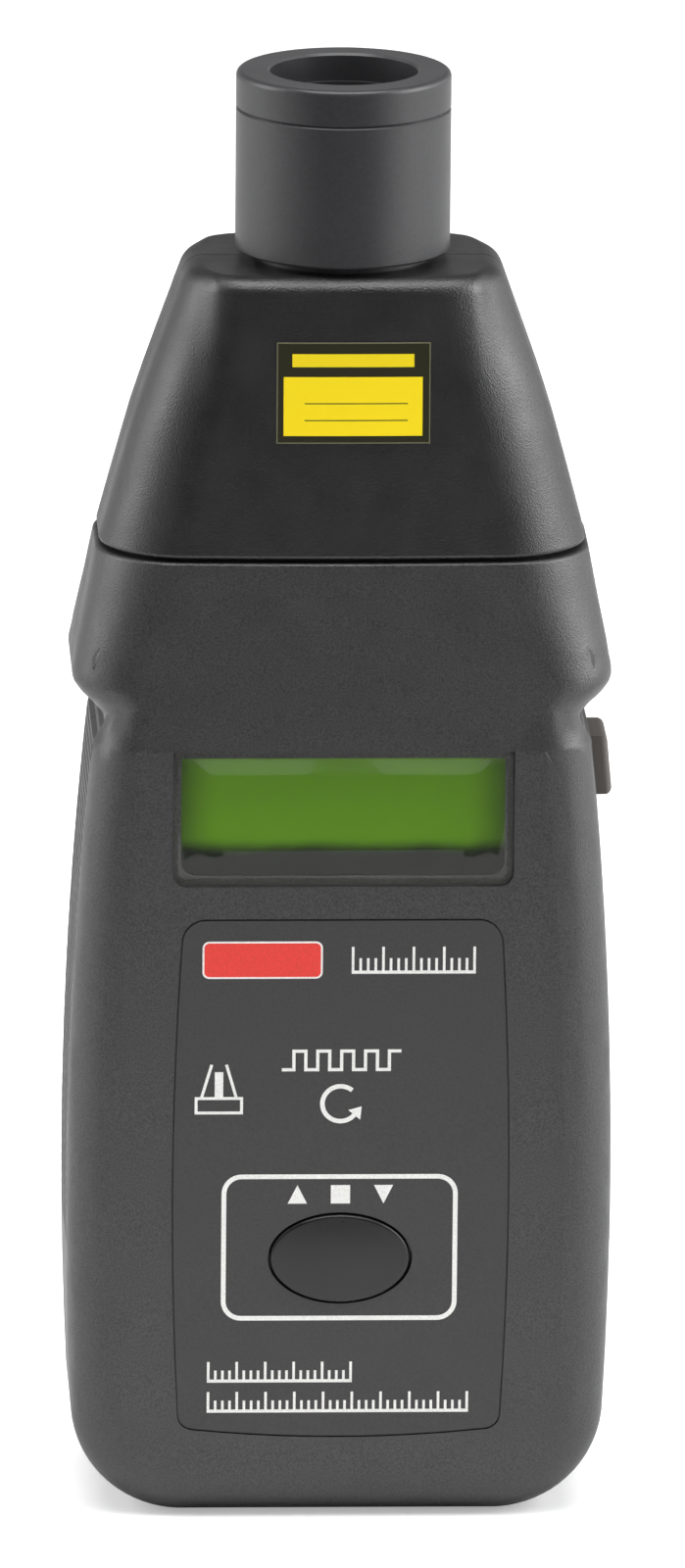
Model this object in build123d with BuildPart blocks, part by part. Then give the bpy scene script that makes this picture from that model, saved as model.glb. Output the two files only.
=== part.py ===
from build123d import *
from math import radians, sqrt, tan
import os

# Hand-held digital tachometer with a non-contact optical nose.
#
# The instrument stands on its flat foot with the nose up. +Z runs along the handle to the nose,
# the display and the memory key face -Y, the measure key is on the +X side, and the casing
# halves part on the plane Y = 0. Lengths are millimetres. The origin is the middle of the foot.

os.makedirs("parts", exist_ok=True)

# Overall size
total_height = 190.0
body_width = 71.0
body_depth = 37.0
wall = 2.0
parting_gap = 0.16
tongue_inset = 1.05
tongue_height = 1.1

# Lower body: the handle, its bowed sides and its rounded foot
widest_height = 43.0
side_bow_radius = 580.0
foot_corner_radius = 14.5
edge_radius = 6.4
back_plane = 18.0
front_at_foot = 16.6
front_at_middle = 17.75
front_at_ledge = 17.95
front_inside_shoulder = 17.1
middle_height = 58.0
lower_top = 112.0
ledge_height = 103.6

# Shoulder: the flared band between the display and the nose
shoulder_top = 127.7
shoulder_depth_at_ledge = 18.5
shoulder_depth_at_top = 17.1
crown_radius = 420.0
flare_height = 111.3
flare_half_width = 35.45
flare_upper_slope = 0.214
flare_lower_slope = 0.759
flare_rounding = 0.6
ledge_half_width = 31.0
shoulder_corner_at_ledge = 7.5
shoulder_corner_at_top = 11.5

# Nose: tapered in width and depth, with a spigot that plugs into the shoulder
nose_bottom = 128.9
nose_top = 165.5
nose_half_base = 31.65
nose_half_middle = 26.65
nose_half_top = 21.2
nose_depth_base = 16.9
nose_depth_top = 15.2
nose_corner_base = 11.5
nose_corner_top = 10.5
nose_end_radius = 2.6
rim_radius = 0.5
spigot_half_width = 29.7
spigot_half_depth = 14.9
spigot_corner = 10.0
spigot_wall = 1.6
spigot_bottom = 120.5
spigot_seat = 1.5
spigot_clearance = 0.1
web_top = 130.6

# Grip grooves along both sides
groove_pitch = 1.57
groove_count = 45
groove_first = 36.8
groove_length = 23.2
groove_width = 1.1
groove_depth = 0.36
groove_wall_angle = 48.0

# Collar, aperture ring and what they hold
collar_radius = 13.9
collar_bottom = 166.6
neck_radius = 11.5
neck_bore = 10.2
flange_radius = 13.0
flange_height = 2.4
ring_height = 4.8
ring_joint = 0.25
aperture_radius = 9.55
ring_spigot_height = 2.2
lens_radius = 11.4
lens_height = 172.0
lens_edge = 1.4
lens_bulge = 1.6
retainer_height = 2.0
collar_fit = 0.05
aperture_lip = 0.7
aperture_step = 3.6
aperture_bevel = 0.3
aperture_rim_radius = 0.75

# Laser, light sensor and the block that carries them
block_height = 22.0
block_radius = 11.2
block_base = 3.0
laser_offset = 3.9
laser_radius = 3.1
laser_length = 14.0
sensor_radius = 2.5
sensor_height = 6.0
sensor_board_half_width = 13.0
sensor_board_half_depth = 9.0
laser_rim_radius = 0.4
board_corner = 2.0

# Display window in the front face
window_width = 44.2
window_bottom = 85.6
window_top = ledge_height
window_corner = 1.8
window_proud = 0.15
window_thickness = 1.6
window_ledge = 1.2
window_clearance = 0.1
window_bevel = 0.4
window_top_corner = 0.6

# Front label, sunk flush into the front face
label_bottom = 11.4
label_top = 81.1
label_half_top = 20.5
label_half_middle = 21.75
label_half_bottom = 20.8
label_middle = 42.0
label_bottom_sag = 1.2
label_corner_top = 3.0
label_corner_bottom = 2.0
label_thickness = 0.45
label_gap = 0.22

# Keys
memory_height = 35.6
memory_half_width = 9.1
memory_half_height = 5.9
memory_gap = 0.3
memory_dome = 0.75
memory_travel = 1.0
measure_bottom = 94.6
measure_top = 102.4
measure_half_depth = 5.0
measure_proud = 2.3
measure_gap = 0.2
measure_hole_reach = 8.0
measure_travel = 1.5
memory_edge_radius = 0.45
memory_flange = 1.3
memory_flange_back = 13.9
memory_flange_thickness = 1.2
stem_radius = 1.9
measure_edge_radius = 0.9
measure_flange = 1.2
measure_flange_outside = 29.7
measure_flange_thickness = 1.3
measure_switch_face = 23.1
switch_y = -3.4
switch_size = 6.2
switch_height = 3.1
switch_gap = 0.3
switch_well = 2.2
switch_corner = 0.6
stem_stop = 0.2
plunger_radius = 1.6
plunger_length = 2.2

# Sticker on the nose
sticker_bottom = 144.2
sticker_top = 157.4
sticker_left = -9.0
sticker_right = 10.8
sticker_thickness = 0.12

# Circuit board and display
board_front = -8.6
board_thickness = 1.6
board_back = board_front + board_thickness
board_half_width = 26.5
board_bottom = 24.0
board_top = 119.0
board_screw_x = 23.2
board_screw_heights = (29.0, 75.0, 114.5)
boss_radius = 2.9
lcd_half_width = 23.5
lcd_bottom = 84.4
lcd_top = 104.6
lcd_back = 12.4
lcd_thickness = 2.2
frame_wall = 1.4
frame_lip = 0.7
frame_rest = 1.0
frame_lip_overlap = 1.5
strip_width = 1.6
strip_inset = 3.0
chip_height = 95.0
chip_size = 14.0
chip_thickness = 1.6
chip_lead = 0.4
chip_leads = 8
chip_pitch = 1.5
chip_foot = 1.2
crystal_place = (-17.0, 82.0)
crystal_length = 11.0
crystal_width = 4.6
crystal_height = 3.6
crystal_end_share = 0.45
capacitor_places = ((15.0, 80.0), (15.0, 87.0))
capacitor_radius = 2.5
capacitor_height = 5.5

# Battery bay: four AA cells side by side behind a sliding cover
cell_radius = 7.1
cell_body_length = 49.5
cell_nub_length = 1.0
cell_nub_radius = 2.75
cell_pitch = 14.5
cell_bevel = 0.5
cell_y = 8.7
bay_bottom = 5.8
bay_top = 61.9
bay_half_width = 29.3
bay_wall = 1.3
bay_floor = 0.2
plate_thickness = 0.4
plate_half_width = 4.5
leaf_half_width = 3.5
leaf_rise = 4.7
leaf_thickness = 0.3
leaf_heel_share = 0.6
leaf_crest_share = 0.5
leaf_slope_share = 0.2
lead_y = 3.5
lead_radius = 0.7
lead_x = 18.5
lead_rise = 4.0
lead_slant = 6.5
lead_bend_radius = 4.3

# Sliding battery cover
cover_top = 64.0
cover_half_width = 29.6
cover_tongue = 1.0
cover_tongue_thickness = 0.9
cover_clearance = 0.15
cover_face = 16.0
thumb_height = 52.0
thumb_pitch = 2.2
thumb_count = 6
thumb_length = 20.0
thumb_width = 1.3
thumb_depth = 0.4

# Fasteners
body_screw_places = ((29.9, 71.0), (29.6, 114.5))
nose_screw_place = (21.3, 139.0)
screw_head_radius = 2.4
screw_head_height = 1.8
screw_shank_radius = 1.2
screw_clear_radius = 1.4
screw_well_radius = 2.6
body_head_seat = 12.0
nose_head_seat = 10.0
pilot_radius = 1.22
pilot_depth = 10.0
body_pillar_depth = 14.2
nose_pillar_depth = 13.6
casing_screw_length = 19.0
nose_screw_length = 17.0
board_screw_length = 5.6
cross_length = 2.6
cross_width = 0.6
cross_depth = 0.8
head_round_share = 0.2


def lower_half_width(z, inset=0.0):
    """Half width of the handle at a height: a large arc that bows out at the widest height."""
    return body_width / 2 - side_bow_radius + sqrt(side_bow_radius**2 - (z - widest_height) ** 2) - inset


def front_depth(z):
    """Depth of the front face in front of the parting plane: one shallow arc up to the ledge."""
    chord_left = (0.0, front_at_foot)
    chord_right = (ledge_height, front_at_ledge)
    slope = (chord_right[1] - chord_left[1]) / (chord_right[0] - chord_left[0])
    chord_at_middle = chord_left[1] + slope * middle_height
    bulge = front_at_middle - chord_at_middle
    share = z * (ledge_height - z) / (middle_height * (ledge_height - middle_height))
    return chord_left[1] + slope * z + bulge * share


def plan_section(z, half_width, half_depth, corner):
    """Rounded plan section with straight sides and a crowned front and back."""
    drop = crown_radius - sqrt(crown_radius**2 - half_width**2)
    shoulder = half_depth - drop
    with BuildSketch(Plane.XY.offset(z)) as section:
        with BuildLine():
            ThreePointArc((-half_width, -shoulder), (0, -half_depth), (half_width, -shoulder))
            Line((half_width, -shoulder), (half_width, shoulder))
            ThreePointArc((half_width, shoulder), (0, half_depth), (-half_width, shoulder))
            Line((-half_width, shoulder), (-half_width, -shoulder))
        make_face()
        fillet(section.vertices(), corner)
    return section.sketch


def lower_form(inset):
    """Solid form of the handle, drawn in by the inset on every side but the top."""
    half_foot = lower_half_width(0)
    half_middle = lower_half_width(middle_height)
    half_top = lower_half_width(lower_top)
    with BuildSketch(Plane.XZ) as outline:
        with BuildLine():
            Line((-half_foot, 0), (half_foot, 0))
            ThreePointArc((half_foot, 0), (half_middle, middle_height), (half_top, lower_top))
            Line((half_top, lower_top), (-half_top, lower_top))
            ThreePointArc((-half_top, lower_top), (-half_middle, middle_height), (-half_foot, 0))
        make_face()
        fillet(outline.vertices().group_by(Axis.Y)[0], foot_corner_radius)
        if inset > 0:
            offset(amount=-inset)
    with BuildSketch(Plane.YZ) as profile:
        with BuildLine():
            Line((back_plane, lower_top), (back_plane, 0))
            Line((back_plane, 0), (-front_at_foot, 0))
            ThreePointArc(
                (-front_at_foot, 0), (-front_at_middle, middle_height), (-front_at_ledge, ledge_height)
            )
            Line((-front_at_ledge, ledge_height), (-front_inside_shoulder, lower_top))
            Line((-front_inside_shoulder, lower_top), (back_plane, lower_top))
        make_face()
        if inset > 0:
            offset(amount=-inset)
    with BuildPart() as form:
        extrude(outline.sketch, amount=body_depth, both=True)
        extrude(profile.sketch, amount=body_width, both=True, mode=Mode.INTERSECT)
        creases = form.edges().filter_by(Axis.X).filter_by(lambda e: e.center().Z > middle_height)
        rim = form.edges().filter_by(lambda e: abs(e.center().Y) > back_plane - 2 * wall - inset)
        fillet(rim - creases, edge_radius - inset)
    return form.part


def shoulder_half_width(z):
    """Half width of the flared band: two sloping lines that run into each other in a round."""
    upper = flare_half_width - flare_upper_slope * (z - flare_height)
    lower = flare_half_width + flare_lower_slope * (z - flare_height)
    half_width = (upper + lower) / 2 - sqrt(((upper - lower) / 2) ** 2 + flare_rounding**2)
    return max(half_width, ledge_half_width)


def shoulder_form(inset, bottom, top):
    """Solid form of the flared band, a smooth loft through its plan sections."""
    span = shoulder_top - ledge_height
    steps = 12
    sections = []
    for step in range(steps + 1):
        z = bottom + (top - bottom) * step / steps
        share = (z - ledge_height) / span
        half_depth = shoulder_depth_at_ledge + (shoulder_depth_at_top - shoulder_depth_at_ledge) * share
        corner = shoulder_corner_at_ledge + (shoulder_corner_at_top - shoulder_corner_at_ledge) * share
        half_width = shoulder_half_width(z)
        sections.append(plan_section(z, half_width - inset, half_depth - inset, corner - inset))
    with BuildPart() as form:
        loft(sections)
    return form.part


def nose_form(inset):
    """Solid form of the nose: a loft whose sides follow one arc, with a rounded end."""
    bulge = nose_half_middle - (nose_half_base + nose_half_top) / 2
    sections = []
    steps = 4
    for step in range(steps + 1):
        share = step / steps
        z = nose_bottom + (nose_top - nose_bottom) * share
        straight = nose_half_base + (nose_half_top - nose_half_base) * share
        half_width = straight + 4 * bulge * share * (1 - share)
        half_depth = nose_depth_base + (nose_depth_top - nose_depth_base) * share
        corner = nose_corner_base + (nose_corner_top - nose_corner_base) * share
        if inset > 0 and step == 0:
            z = web_top
        if inset > 0 and step == steps:
            z = nose_top - inset
        sections.append(plan_section(z, half_width - inset, half_depth - inset, corner - inset))
    with BuildPart() as form:
        loft(sections)
        if inset == 0:
            fillet(form.faces().sort_by(Axis.Z)[-1].edges(), nose_end_radius)
            fillet(form.faces().sort_by(Axis.Z)[0].edges(), rim_radius)
    return form.part


def prism(half_width, half_depth, corner, bottom, top):
    """Straight prism on a rounded plan section."""
    with BuildPart() as form:
        extrude(plan_section(bottom, half_width, half_depth, corner), amount=top - bottom)
    return form.part


def front_band(outside, inside):
    """Band that follows the front face of the handle, from outside its skin to inside it."""
    with BuildSketch(Plane.YZ) as band:
        with BuildLine():
            ThreePointArc(
                (-front_at_foot - outside, 0),
                (-front_at_middle - outside, middle_height),
                (-front_at_ledge - outside, ledge_height),
            )
            Line((-front_at_ledge - outside, ledge_height), (-front_at_ledge + inside, ledge_height))
            ThreePointArc(
                (-front_at_ledge + inside, ledge_height),
                (-front_at_middle + inside, middle_height),
                (-front_at_foot + inside, 0),
            )
            Line((-front_at_foot + inside, 0), (-front_at_foot - outside, 0))
        make_face()
    with BuildPart() as form:
        extrude(band.sketch, amount=body_width / 2, both=True)
    return form.part


def label_outline(grow):
    """Outline of the front label: bowed sides, a sagging lower edge and rounded corners."""
    corner_height = label_bottom + label_bottom_sag
    with BuildSketch(Plane.XZ) as outline:
        with BuildLine():
            Line((-label_half_top, label_top), (label_half_top, label_top))
            ThreePointArc(
                (label_half_top, label_top),
                (label_half_middle, label_middle),
                (label_half_bottom, corner_height),
            )
            ThreePointArc(
                (label_half_bottom, corner_height), (0, label_bottom), (-label_half_bottom, corner_height)
            )
            ThreePointArc(
                (-label_half_bottom, corner_height),
                (-label_half_middle, label_middle),
                (-label_half_top, label_top),
            )
        make_face()
        fillet(outline.vertices().group_by(Axis.Y)[-1], label_corner_top)
        fillet(outline.vertices().group_by(Axis.Y)[0], label_corner_bottom)
        if grow > 0:
            offset(amount=grow)
    return outline.sketch


def window_outline(shrink, top_corner):
    """Outline of the display window: square upper corners under the ledge, round lower ones."""
    half = window_width / 2 - shrink
    low = window_bottom + shrink
    high = window_top - shrink
    with BuildSketch(Plane.XZ) as outline:
        with BuildLine():
            Polyline((-half, low), (half, low), (half, high), (-half, high), close=True)
        make_face()
        fillet(outline.vertices().group_by(Axis.Y)[0], window_corner)
        if top_corner > 0:
            fillet(outline.vertices().group_by(Axis.Y)[-1], top_corner)
    return outline.sketch


def grip_grooves():
    """Cutters for the horizontal grip grooves: slots with sloping walls on both sides."""
    lift = 0.1
    lean = tan(radians(groove_wall_angle))
    cutters = []
    for side in (-1, 1):
        for number in range(groove_count):
            z = groove_first + groove_pitch * number
            start = side * (lower_half_width(z) + lift)
            plane = Plane(origin=(start, 0, z), x_dir=(0, 1, 0), z_dir=(-side, 0, 0))
            with BuildSketch(plane) as slot:
                SlotOverall(groove_length, groove_width + 2 * lift * lean)
            with BuildPart() as cutter:
                extrude(slot.sketch, amount=groove_depth + lift, taper=groove_wall_angle)
            cutters.append(cutter.part)
    return cutters


def turned(points):
    """Turned ring or tube about the collar axis, from its half section in the XZ plane."""
    with BuildSketch(Plane.XZ) as section:
        with BuildLine():
            Polyline(*points, close=True)
        make_face()
    with BuildPart() as form:
        revolve(section.sketch, axis=Axis.Z)
    return form.part


lower_outer = lower_form(0.0)
lower_inner = lower_form(wall)
lower_tongue = lower_form(tongue_inset)
shoulder_outer = shoulder_form(0.0, ledge_height, shoulder_top)
shoulder_inner = shoulder_form(wall, ledge_height + wall, spigot_bottom - spigot_seat)
shoulder_tongue = shoulder_form(tongue_inset, ledge_height + wall, shoulder_top)
nose_outer = nose_form(0.0)
nose_inner = nose_form(wall)
nose_tongue = nose_form(tongue_inset)
rim_opening = prism(
    spigot_half_width + spigot_clearance,
    spigot_half_depth + spigot_clearance,
    spigot_corner + spigot_clearance,
    spigot_bottom,
    nose_bottom,
)
seat_opening = prism(
    spigot_half_width - spigot_wall,
    spigot_half_depth - spigot_wall,
    spigot_corner - spigot_wall,
    spigot_bottom - 2 * spigot_seat,
    spigot_bottom,
)
cavity = [lower_inner, shoulder_inner, rim_opening, seat_opening]
grooves = grip_grooves()

# Body shells
body_gap = parting_gap / 2
key_side = lower_half_width((measure_bottom + measure_top) / 2)
key_height = (measure_bottom + measure_top) / 2
key_hole_height = measure_top - measure_bottom + 2 * measure_gap
key_hole_depth = 2 * (measure_half_depth + measure_gap)
channel_top = cover_top + cover_clearance


def finish(part, name):
    """Label a piece and write it to its file."""
    part.label = name
    export_step(part, f"parts/{name}.step")


def pairs(places):
    """Places in the XZ plane mirrored to both sides."""
    return [(side * across, height) for across, height in places for side in (-1, 1)]


def discs(plane, places, radius):
    """Round faces on a plane, one at each place."""
    with BuildSketch(plane) as faces:
        with Locations(*places):
            Circle(radius)
    return faces.sketch


board_places = pairs([(board_screw_x, height) for height in board_screw_heights])
pillar_places = pairs(body_screw_places)

with BuildPart() as body_tongue:
    add([lower_tongue, shoulder_tongue])
    add(cavity, mode=Mode.SUBTRACT)
    with Locations((0, 0, lower_top / 2)):
        Box(2 * body_width, 2 * tongue_height, 2 * lower_top, mode=Mode.INTERSECT)
    with Locations((key_side, 0, key_height)):
        Box(2 * measure_hole_reach, key_hole_depth, key_hole_height, mode=Mode.SUBTRACT)

with BuildPart() as body_skin:
    add([lower_outer, shoulder_outer])
    fillet(body_skin.faces().sort_by(Axis.Z)[-1].edges(), rim_radius)
    add(cavity, mode=Mode.SUBTRACT)
    with Locations((key_side, 0, key_height)):
        Box(2 * measure_hole_reach, key_hole_depth, key_hole_height, mode=Mode.SUBTRACT)

with BuildPart() as front_shell:
    add(body_skin.part)
    split(bisect_by=Plane.XZ.offset(body_gap), keep=Keep.TOP)
    add(body_tongue.part, mode=Mode.SUBTRACT)
    for place in board_places:
        reach = front_depth(min(place[1], ledge_height)) - wall / 2 + board_front
        extrude(discs(Plane.XZ.offset(-board_front), [place], boss_radius), amount=reach)
    extrude(discs(Plane.XZ, pillar_places, boss_radius), amount=body_pillar_depth)
    extrude(
        discs(Plane.XZ.offset(-board_front), board_places, pilot_radius),
        amount=pilot_depth / 2,
        mode=Mode.SUBTRACT,
    )
    extrude(discs(Plane.XZ, pillar_places, pilot_radius), amount=pilot_depth, mode=Mode.SUBTRACT)
    extrude(window_outline(window_ledge, 0), amount=body_depth, mode=Mode.SUBTRACT)
    window_pocket = extrude(window_outline(0, 0), amount=body_depth, mode=Mode.PRIVATE)
    add(window_pocket & front_band(1, window_thickness), mode=Mode.SUBTRACT)
    label_pocket = extrude(label_outline(label_gap), amount=body_depth, mode=Mode.PRIVATE)
    add(label_pocket & front_band(1, label_thickness), mode=Mode.SUBTRACT)
    with BuildSketch(Plane.XZ) as key_hole:
        with Locations((0, memory_height)):
            Ellipse(memory_half_width + memory_gap, memory_half_height + memory_gap)
    extrude(key_hole.sketch, amount=body_depth, mode=Mode.SUBTRACT)
    add(grooves, mode=Mode.SUBTRACT)
finish(front_shell.part, "front_shell")

with BuildPart() as rear_shell:
    add(body_skin.part)
    split(bisect_by=Plane.XZ.offset(-body_gap), keep=Keep.BOTTOM)
    add(body_tongue.part)
    extrude(discs(Plane.XZ, pillar_places, boss_radius), amount=-(back_plane - wall / 2))
    with BuildSketch(Plane.XZ.offset(-bay_floor)) as bay_plate:
        with Locations((0, (bay_bottom + bay_top) / 2)):
            Rectangle(2 * (bay_half_width + bay_wall), bay_top - bay_bottom + 2 * bay_wall)
    extrude(bay_plate.sketch, amount=-(back_plane - wall / 2 - bay_floor))
    with BuildSketch(Plane.XZ.offset(-bay_floor - bay_wall)) as bay_room:
        with Locations((0, (bay_bottom + bay_top) / 2)):
            Rectangle(2 * bay_half_width, bay_top - bay_bottom)
    extrude(bay_room.sketch, amount=-back_plane, mode=Mode.SUBTRACT)
    with Locations((0, back_plane + cover_face - cover_clearance / 2, channel_top - lower_top / 2)):
        Box(
            2 * (cover_half_width + cover_clearance),
            2 * back_plane,
            lower_top,
            mode=Mode.SUBTRACT,
        )
    slot_middle = cover_face + cover_tongue_thickness / 2
    with Locations((0, slot_middle, channel_top + cover_tongue - lower_top / 2)):
        Box(
            2 * (cover_half_width + cover_tongue + cover_clearance),
            cover_tongue_thickness + 2 * cover_clearance,
            lower_top,
            mode=Mode.SUBTRACT,
        )
    extrude(discs(Plane.XZ, pillar_places, screw_clear_radius), amount=-back_plane, mode=Mode.SUBTRACT)
    extrude(
        discs(Plane.XZ.offset(-body_head_seat), pillar_places, screw_well_radius),
        amount=-back_plane,
        mode=Mode.SUBTRACT,
    )
    add(grooves, mode=Mode.SUBTRACT)
finish(rear_shell.part, "rear_shell")

# Sliding battery cover, cut from the same outer form as the shell round it, on two long tongues
with BuildPart() as cover_tongues:
    with Locations((0, cover_face + cover_tongue_thickness / 2, (cover_top + cover_tongue) / 2)):
        Box(2 * (cover_half_width + cover_tongue), cover_tongue_thickness, cover_top + cover_tongue)
    add(lower_tongue, mode=Mode.INTERSECT)

with BuildPart() as battery_cover:
    add(lower_outer)
    with Locations((0, cover_face + wall, cover_top - lower_top / 2)):
        Box(2 * cover_half_width, 2 * wall, lower_top, mode=Mode.INTERSECT)
    add(cover_tongues.part)
    with BuildSketch(Plane.XZ.offset(-back_plane)) as ridges:
        with GridLocations(0, thumb_pitch, 1, thumb_count):
            SlotOverall(thumb_length, thumb_width)
    extrude(
        ridges.sketch.moved(Location((0, 0, thumb_height))),
        amount=thumb_depth,
        taper=groove_wall_angle,
        mode=Mode.SUBTRACT,
    )
finish(battery_cover.part, "battery_cover")

# Nose shells
nose_places = pairs([nose_screw_place])
spigot = prism(spigot_half_width, spigot_half_depth, spigot_corner, spigot_bottom, web_top)
spigot_room = prism(
    spigot_half_width - spigot_wall,
    spigot_half_depth - spigot_wall,
    spigot_corner - spigot_wall,
    spigot_bottom,
    web_top,
)
flange_top = nose_top - wall
flange_bottom = flange_top - flange_height
shelf_bottom = flange_bottom - wall

# Shelf inside the end of the nose that the collar's flange is clamped on
with BuildPart() as nose_shelf:
    add(nose_inner)
    with Locations((0, 0, (flange_bottom + shelf_bottom) / 2)):
        Box(body_width, body_width, flange_bottom - shelf_bottom, mode=Mode.INTERSECT)

with BuildPart() as nose_skin:
    add(nose_outer)
    add(nose_inner, mode=Mode.SUBTRACT)
    add(spigot)
    add(spigot_room, mode=Mode.SUBTRACT)
    add(nose_shelf.part)
    with Locations((0, 0, shelf_bottom)):
        Cylinder(
            neck_radius,
            total_height,
            align=(Align.CENTER, Align.CENTER, Align.MIN),
            mode=Mode.SUBTRACT,
        )

with BuildPart() as nose_lip:
    add(nose_tongue)
    add(nose_inner, mode=Mode.SUBTRACT)
    with Locations((0, 0, (web_top + flange_top) / 2)):
        Box(2 * body_width, 2 * tongue_height, flange_top - web_top, mode=Mode.INTERSECT)

with BuildPart() as nose_front_shell:
    add(nose_skin.part)
    split(bisect_by=Plane.XZ.offset(body_gap), keep=Keep.TOP)
    add(nose_lip.part, mode=Mode.SUBTRACT)
    extrude(discs(Plane.XZ, nose_places, boss_radius), amount=nose_pillar_depth)
    extrude(discs(Plane.XZ, nose_places, pilot_radius), amount=pilot_depth, mode=Mode.SUBTRACT)
finish(nose_front_shell.part, "nose_front_shell")

with BuildPart() as nose_rear_shell:
    add(nose_skin.part)
    split(bisect_by=Plane.XZ.offset(-body_gap), keep=Keep.BOTTOM)
    add(nose_lip.part)
    extrude(discs(Plane.XZ, nose_places, boss_radius), amount=-nose_pillar_depth)
    extrude(discs(Plane.XZ, nose_places, screw_clear_radius), amount=-back_plane, mode=Mode.SUBTRACT)
    extrude(
        discs(Plane.XZ.offset(-nose_head_seat), nose_places, screw_well_radius),
        amount=-back_plane,
        mode=Mode.SUBTRACT,
    )
finish(nose_rear_shell.part, "nose_rear_shell")


# Collar, a turned tube held by its flange inside the nose
collar_top = total_height - ring_height
lens_seat = lens_height - lens_edge / 2
with BuildPart() as collar_tube:
    add(
        turned(
            [
                (neck_bore, flange_bottom),
                (flange_radius, flange_bottom),
                (flange_radius, flange_top),
                (neck_radius - collar_fit, flange_top),
                (neck_radius - collar_fit, collar_bottom),
                (collar_radius - ring_joint, collar_bottom),
                (collar_radius, collar_bottom + ring_joint),
                (collar_radius, collar_top - ring_joint),
                (collar_radius - ring_joint, collar_top),
                (lens_radius + collar_fit, collar_top),
                (lens_radius + collar_fit, lens_seat),
                (neck_bore, lens_seat),
            ]
        )
    )
finish(collar_tube.part, "collar_tube")

# Aperture ring, plugged into the collar, with a stepped opening
with BuildPart() as aperture_ring:
    add(
        turned(
            [
                (aperture_radius - aperture_lip, total_height - aperture_step),
                (aperture_radius, total_height - aperture_step),
                (aperture_radius, total_height - aperture_bevel),
                (aperture_radius + aperture_bevel, total_height),
                (collar_radius, total_height),
                (collar_radius, collar_top + ring_joint),
                (collar_radius - ring_joint, collar_top),
                (lens_radius, collar_top),
                (lens_radius, collar_top - ring_spigot_height),
                (aperture_radius + aperture_lip, collar_top - ring_spigot_height),
                (aperture_radius - aperture_lip, collar_top),
            ]
        )
    )
    outer_rim = aperture_ring.edges().filter_by(GeomType.CIRCLE).group_by(Axis.Z)[-1]
    fillet(outer_rim.sort_by(SortBy.RADIUS)[-1], aperture_rim_radius)
finish(aperture_ring.part, "aperture_ring")

# Condenser lens, bulged on both sides, and the ring that holds it on its seat
lens_sphere = (neck_bore**2 + lens_bulge**2) / (2 * lens_bulge)
lens_top = lens_seat + lens_edge
with BuildPart() as condenser_lens:
    with BuildSketch(Plane.XZ):
        with BuildLine():
            Line((0, lens_seat - lens_bulge), (0, lens_top + lens_bulge))
            RadiusArc((0, lens_top + lens_bulge), (neck_bore, lens_top), lens_sphere)
            Line((neck_bore, lens_top), (lens_radius, lens_top))
            Line((lens_radius, lens_top), (lens_radius, lens_seat))
            Line((lens_radius, lens_seat), (neck_bore, lens_seat))
            RadiusArc((neck_bore, lens_seat), (0, lens_seat - lens_bulge), lens_sphere)
        make_face()
    revolve(axis=Axis.Z)
finish(condenser_lens.part, "condenser_lens")

with BuildPart() as lens_retainer:
    add(
        turned(
            [
                (neck_bore, lens_seat + lens_edge),
                (lens_radius, lens_seat + lens_edge),
                (lens_radius, lens_seat + lens_edge + retainer_height),
                (neck_bore, lens_seat + lens_edge + retainer_height),
            ]
        )
    )
finish(lens_retainer.part, "lens_retainer")

# Optics block under the collar: a cup that carries the laser and the light sensor
block_floor = flange_bottom - block_height
bottom_centre = (Align.CENTER, Align.CENTER, Align.MIN)
with BuildPart() as optics_block:
    add(
        turned(
            [
                (0, block_floor),
                (block_radius, block_floor),
                (block_radius, flange_bottom),
                (block_radius - wall, flange_bottom),
                (block_radius - wall, block_floor + block_base),
                (0, block_floor + block_base),
            ]
        )
    )
    with Locations((laser_offset, 0, block_floor)):
        Cylinder(laser_radius, block_base, align=bottom_centre, mode=Mode.SUBTRACT)
    with Locations((-laser_offset, 0, block_floor)):
        Cylinder(sensor_radius, block_base, align=bottom_centre, mode=Mode.SUBTRACT)
finish(optics_block.part, "optics_block")

with BuildPart() as laser_module:
    with Locations((laser_offset, 0, block_floor)):
        Cylinder(laser_radius, laser_length, align=bottom_centre)
        Cylinder(laser_radius / 3, laser_length, align=bottom_centre, mode=Mode.SUBTRACT)
    fillet(laser_module.edges().group_by(Axis.Z)[-1], laser_rim_radius)
finish(laser_module.part, "laser_module")

with BuildPart() as photo_sensor:
    with Locations((-laser_offset, 0, block_floor)):
        Cylinder(sensor_radius, sensor_height, align=bottom_centre)
    with Locations((-laser_offset, 0, block_floor + sensor_height)):
        Sphere(sensor_radius, arc_size1=0)
finish(photo_sensor.part, "photo_sensor")

with BuildPart() as sensor_board:
    with BuildSketch(Plane.XY.offset(block_floor)):
        RectangleRounded(2 * sensor_board_half_width, 2 * sensor_board_half_depth, board_corner)
    extrude(amount=-board_thickness)
finish(sensor_board.part, "sensor_board")

# Display window: a clear raised lens in its pocket
with BuildPart() as display_window:
    pane_outline = window_outline(window_clearance, window_top_corner)
    pane = extrude(pane_outline, amount=body_depth, mode=Mode.PRIVATE)
    add(pane & front_band(window_proud, window_thickness))
    window_front = display_window.faces().sort_by(Axis.Y)[0]
    chamfer(window_front.edges(), window_bevel)
finish(display_window.part, "display_window")

# Front label with the hole for the memory key
with BuildPart() as front_label:
    label_block = extrude(label_outline(0), amount=body_depth, mode=Mode.PRIVATE)
    add(label_block & front_band(0, label_thickness))
    extrude(key_hole.sketch, amount=body_depth, mode=Mode.SUBTRACT)
finish(front_label.part, "front_label")

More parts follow.
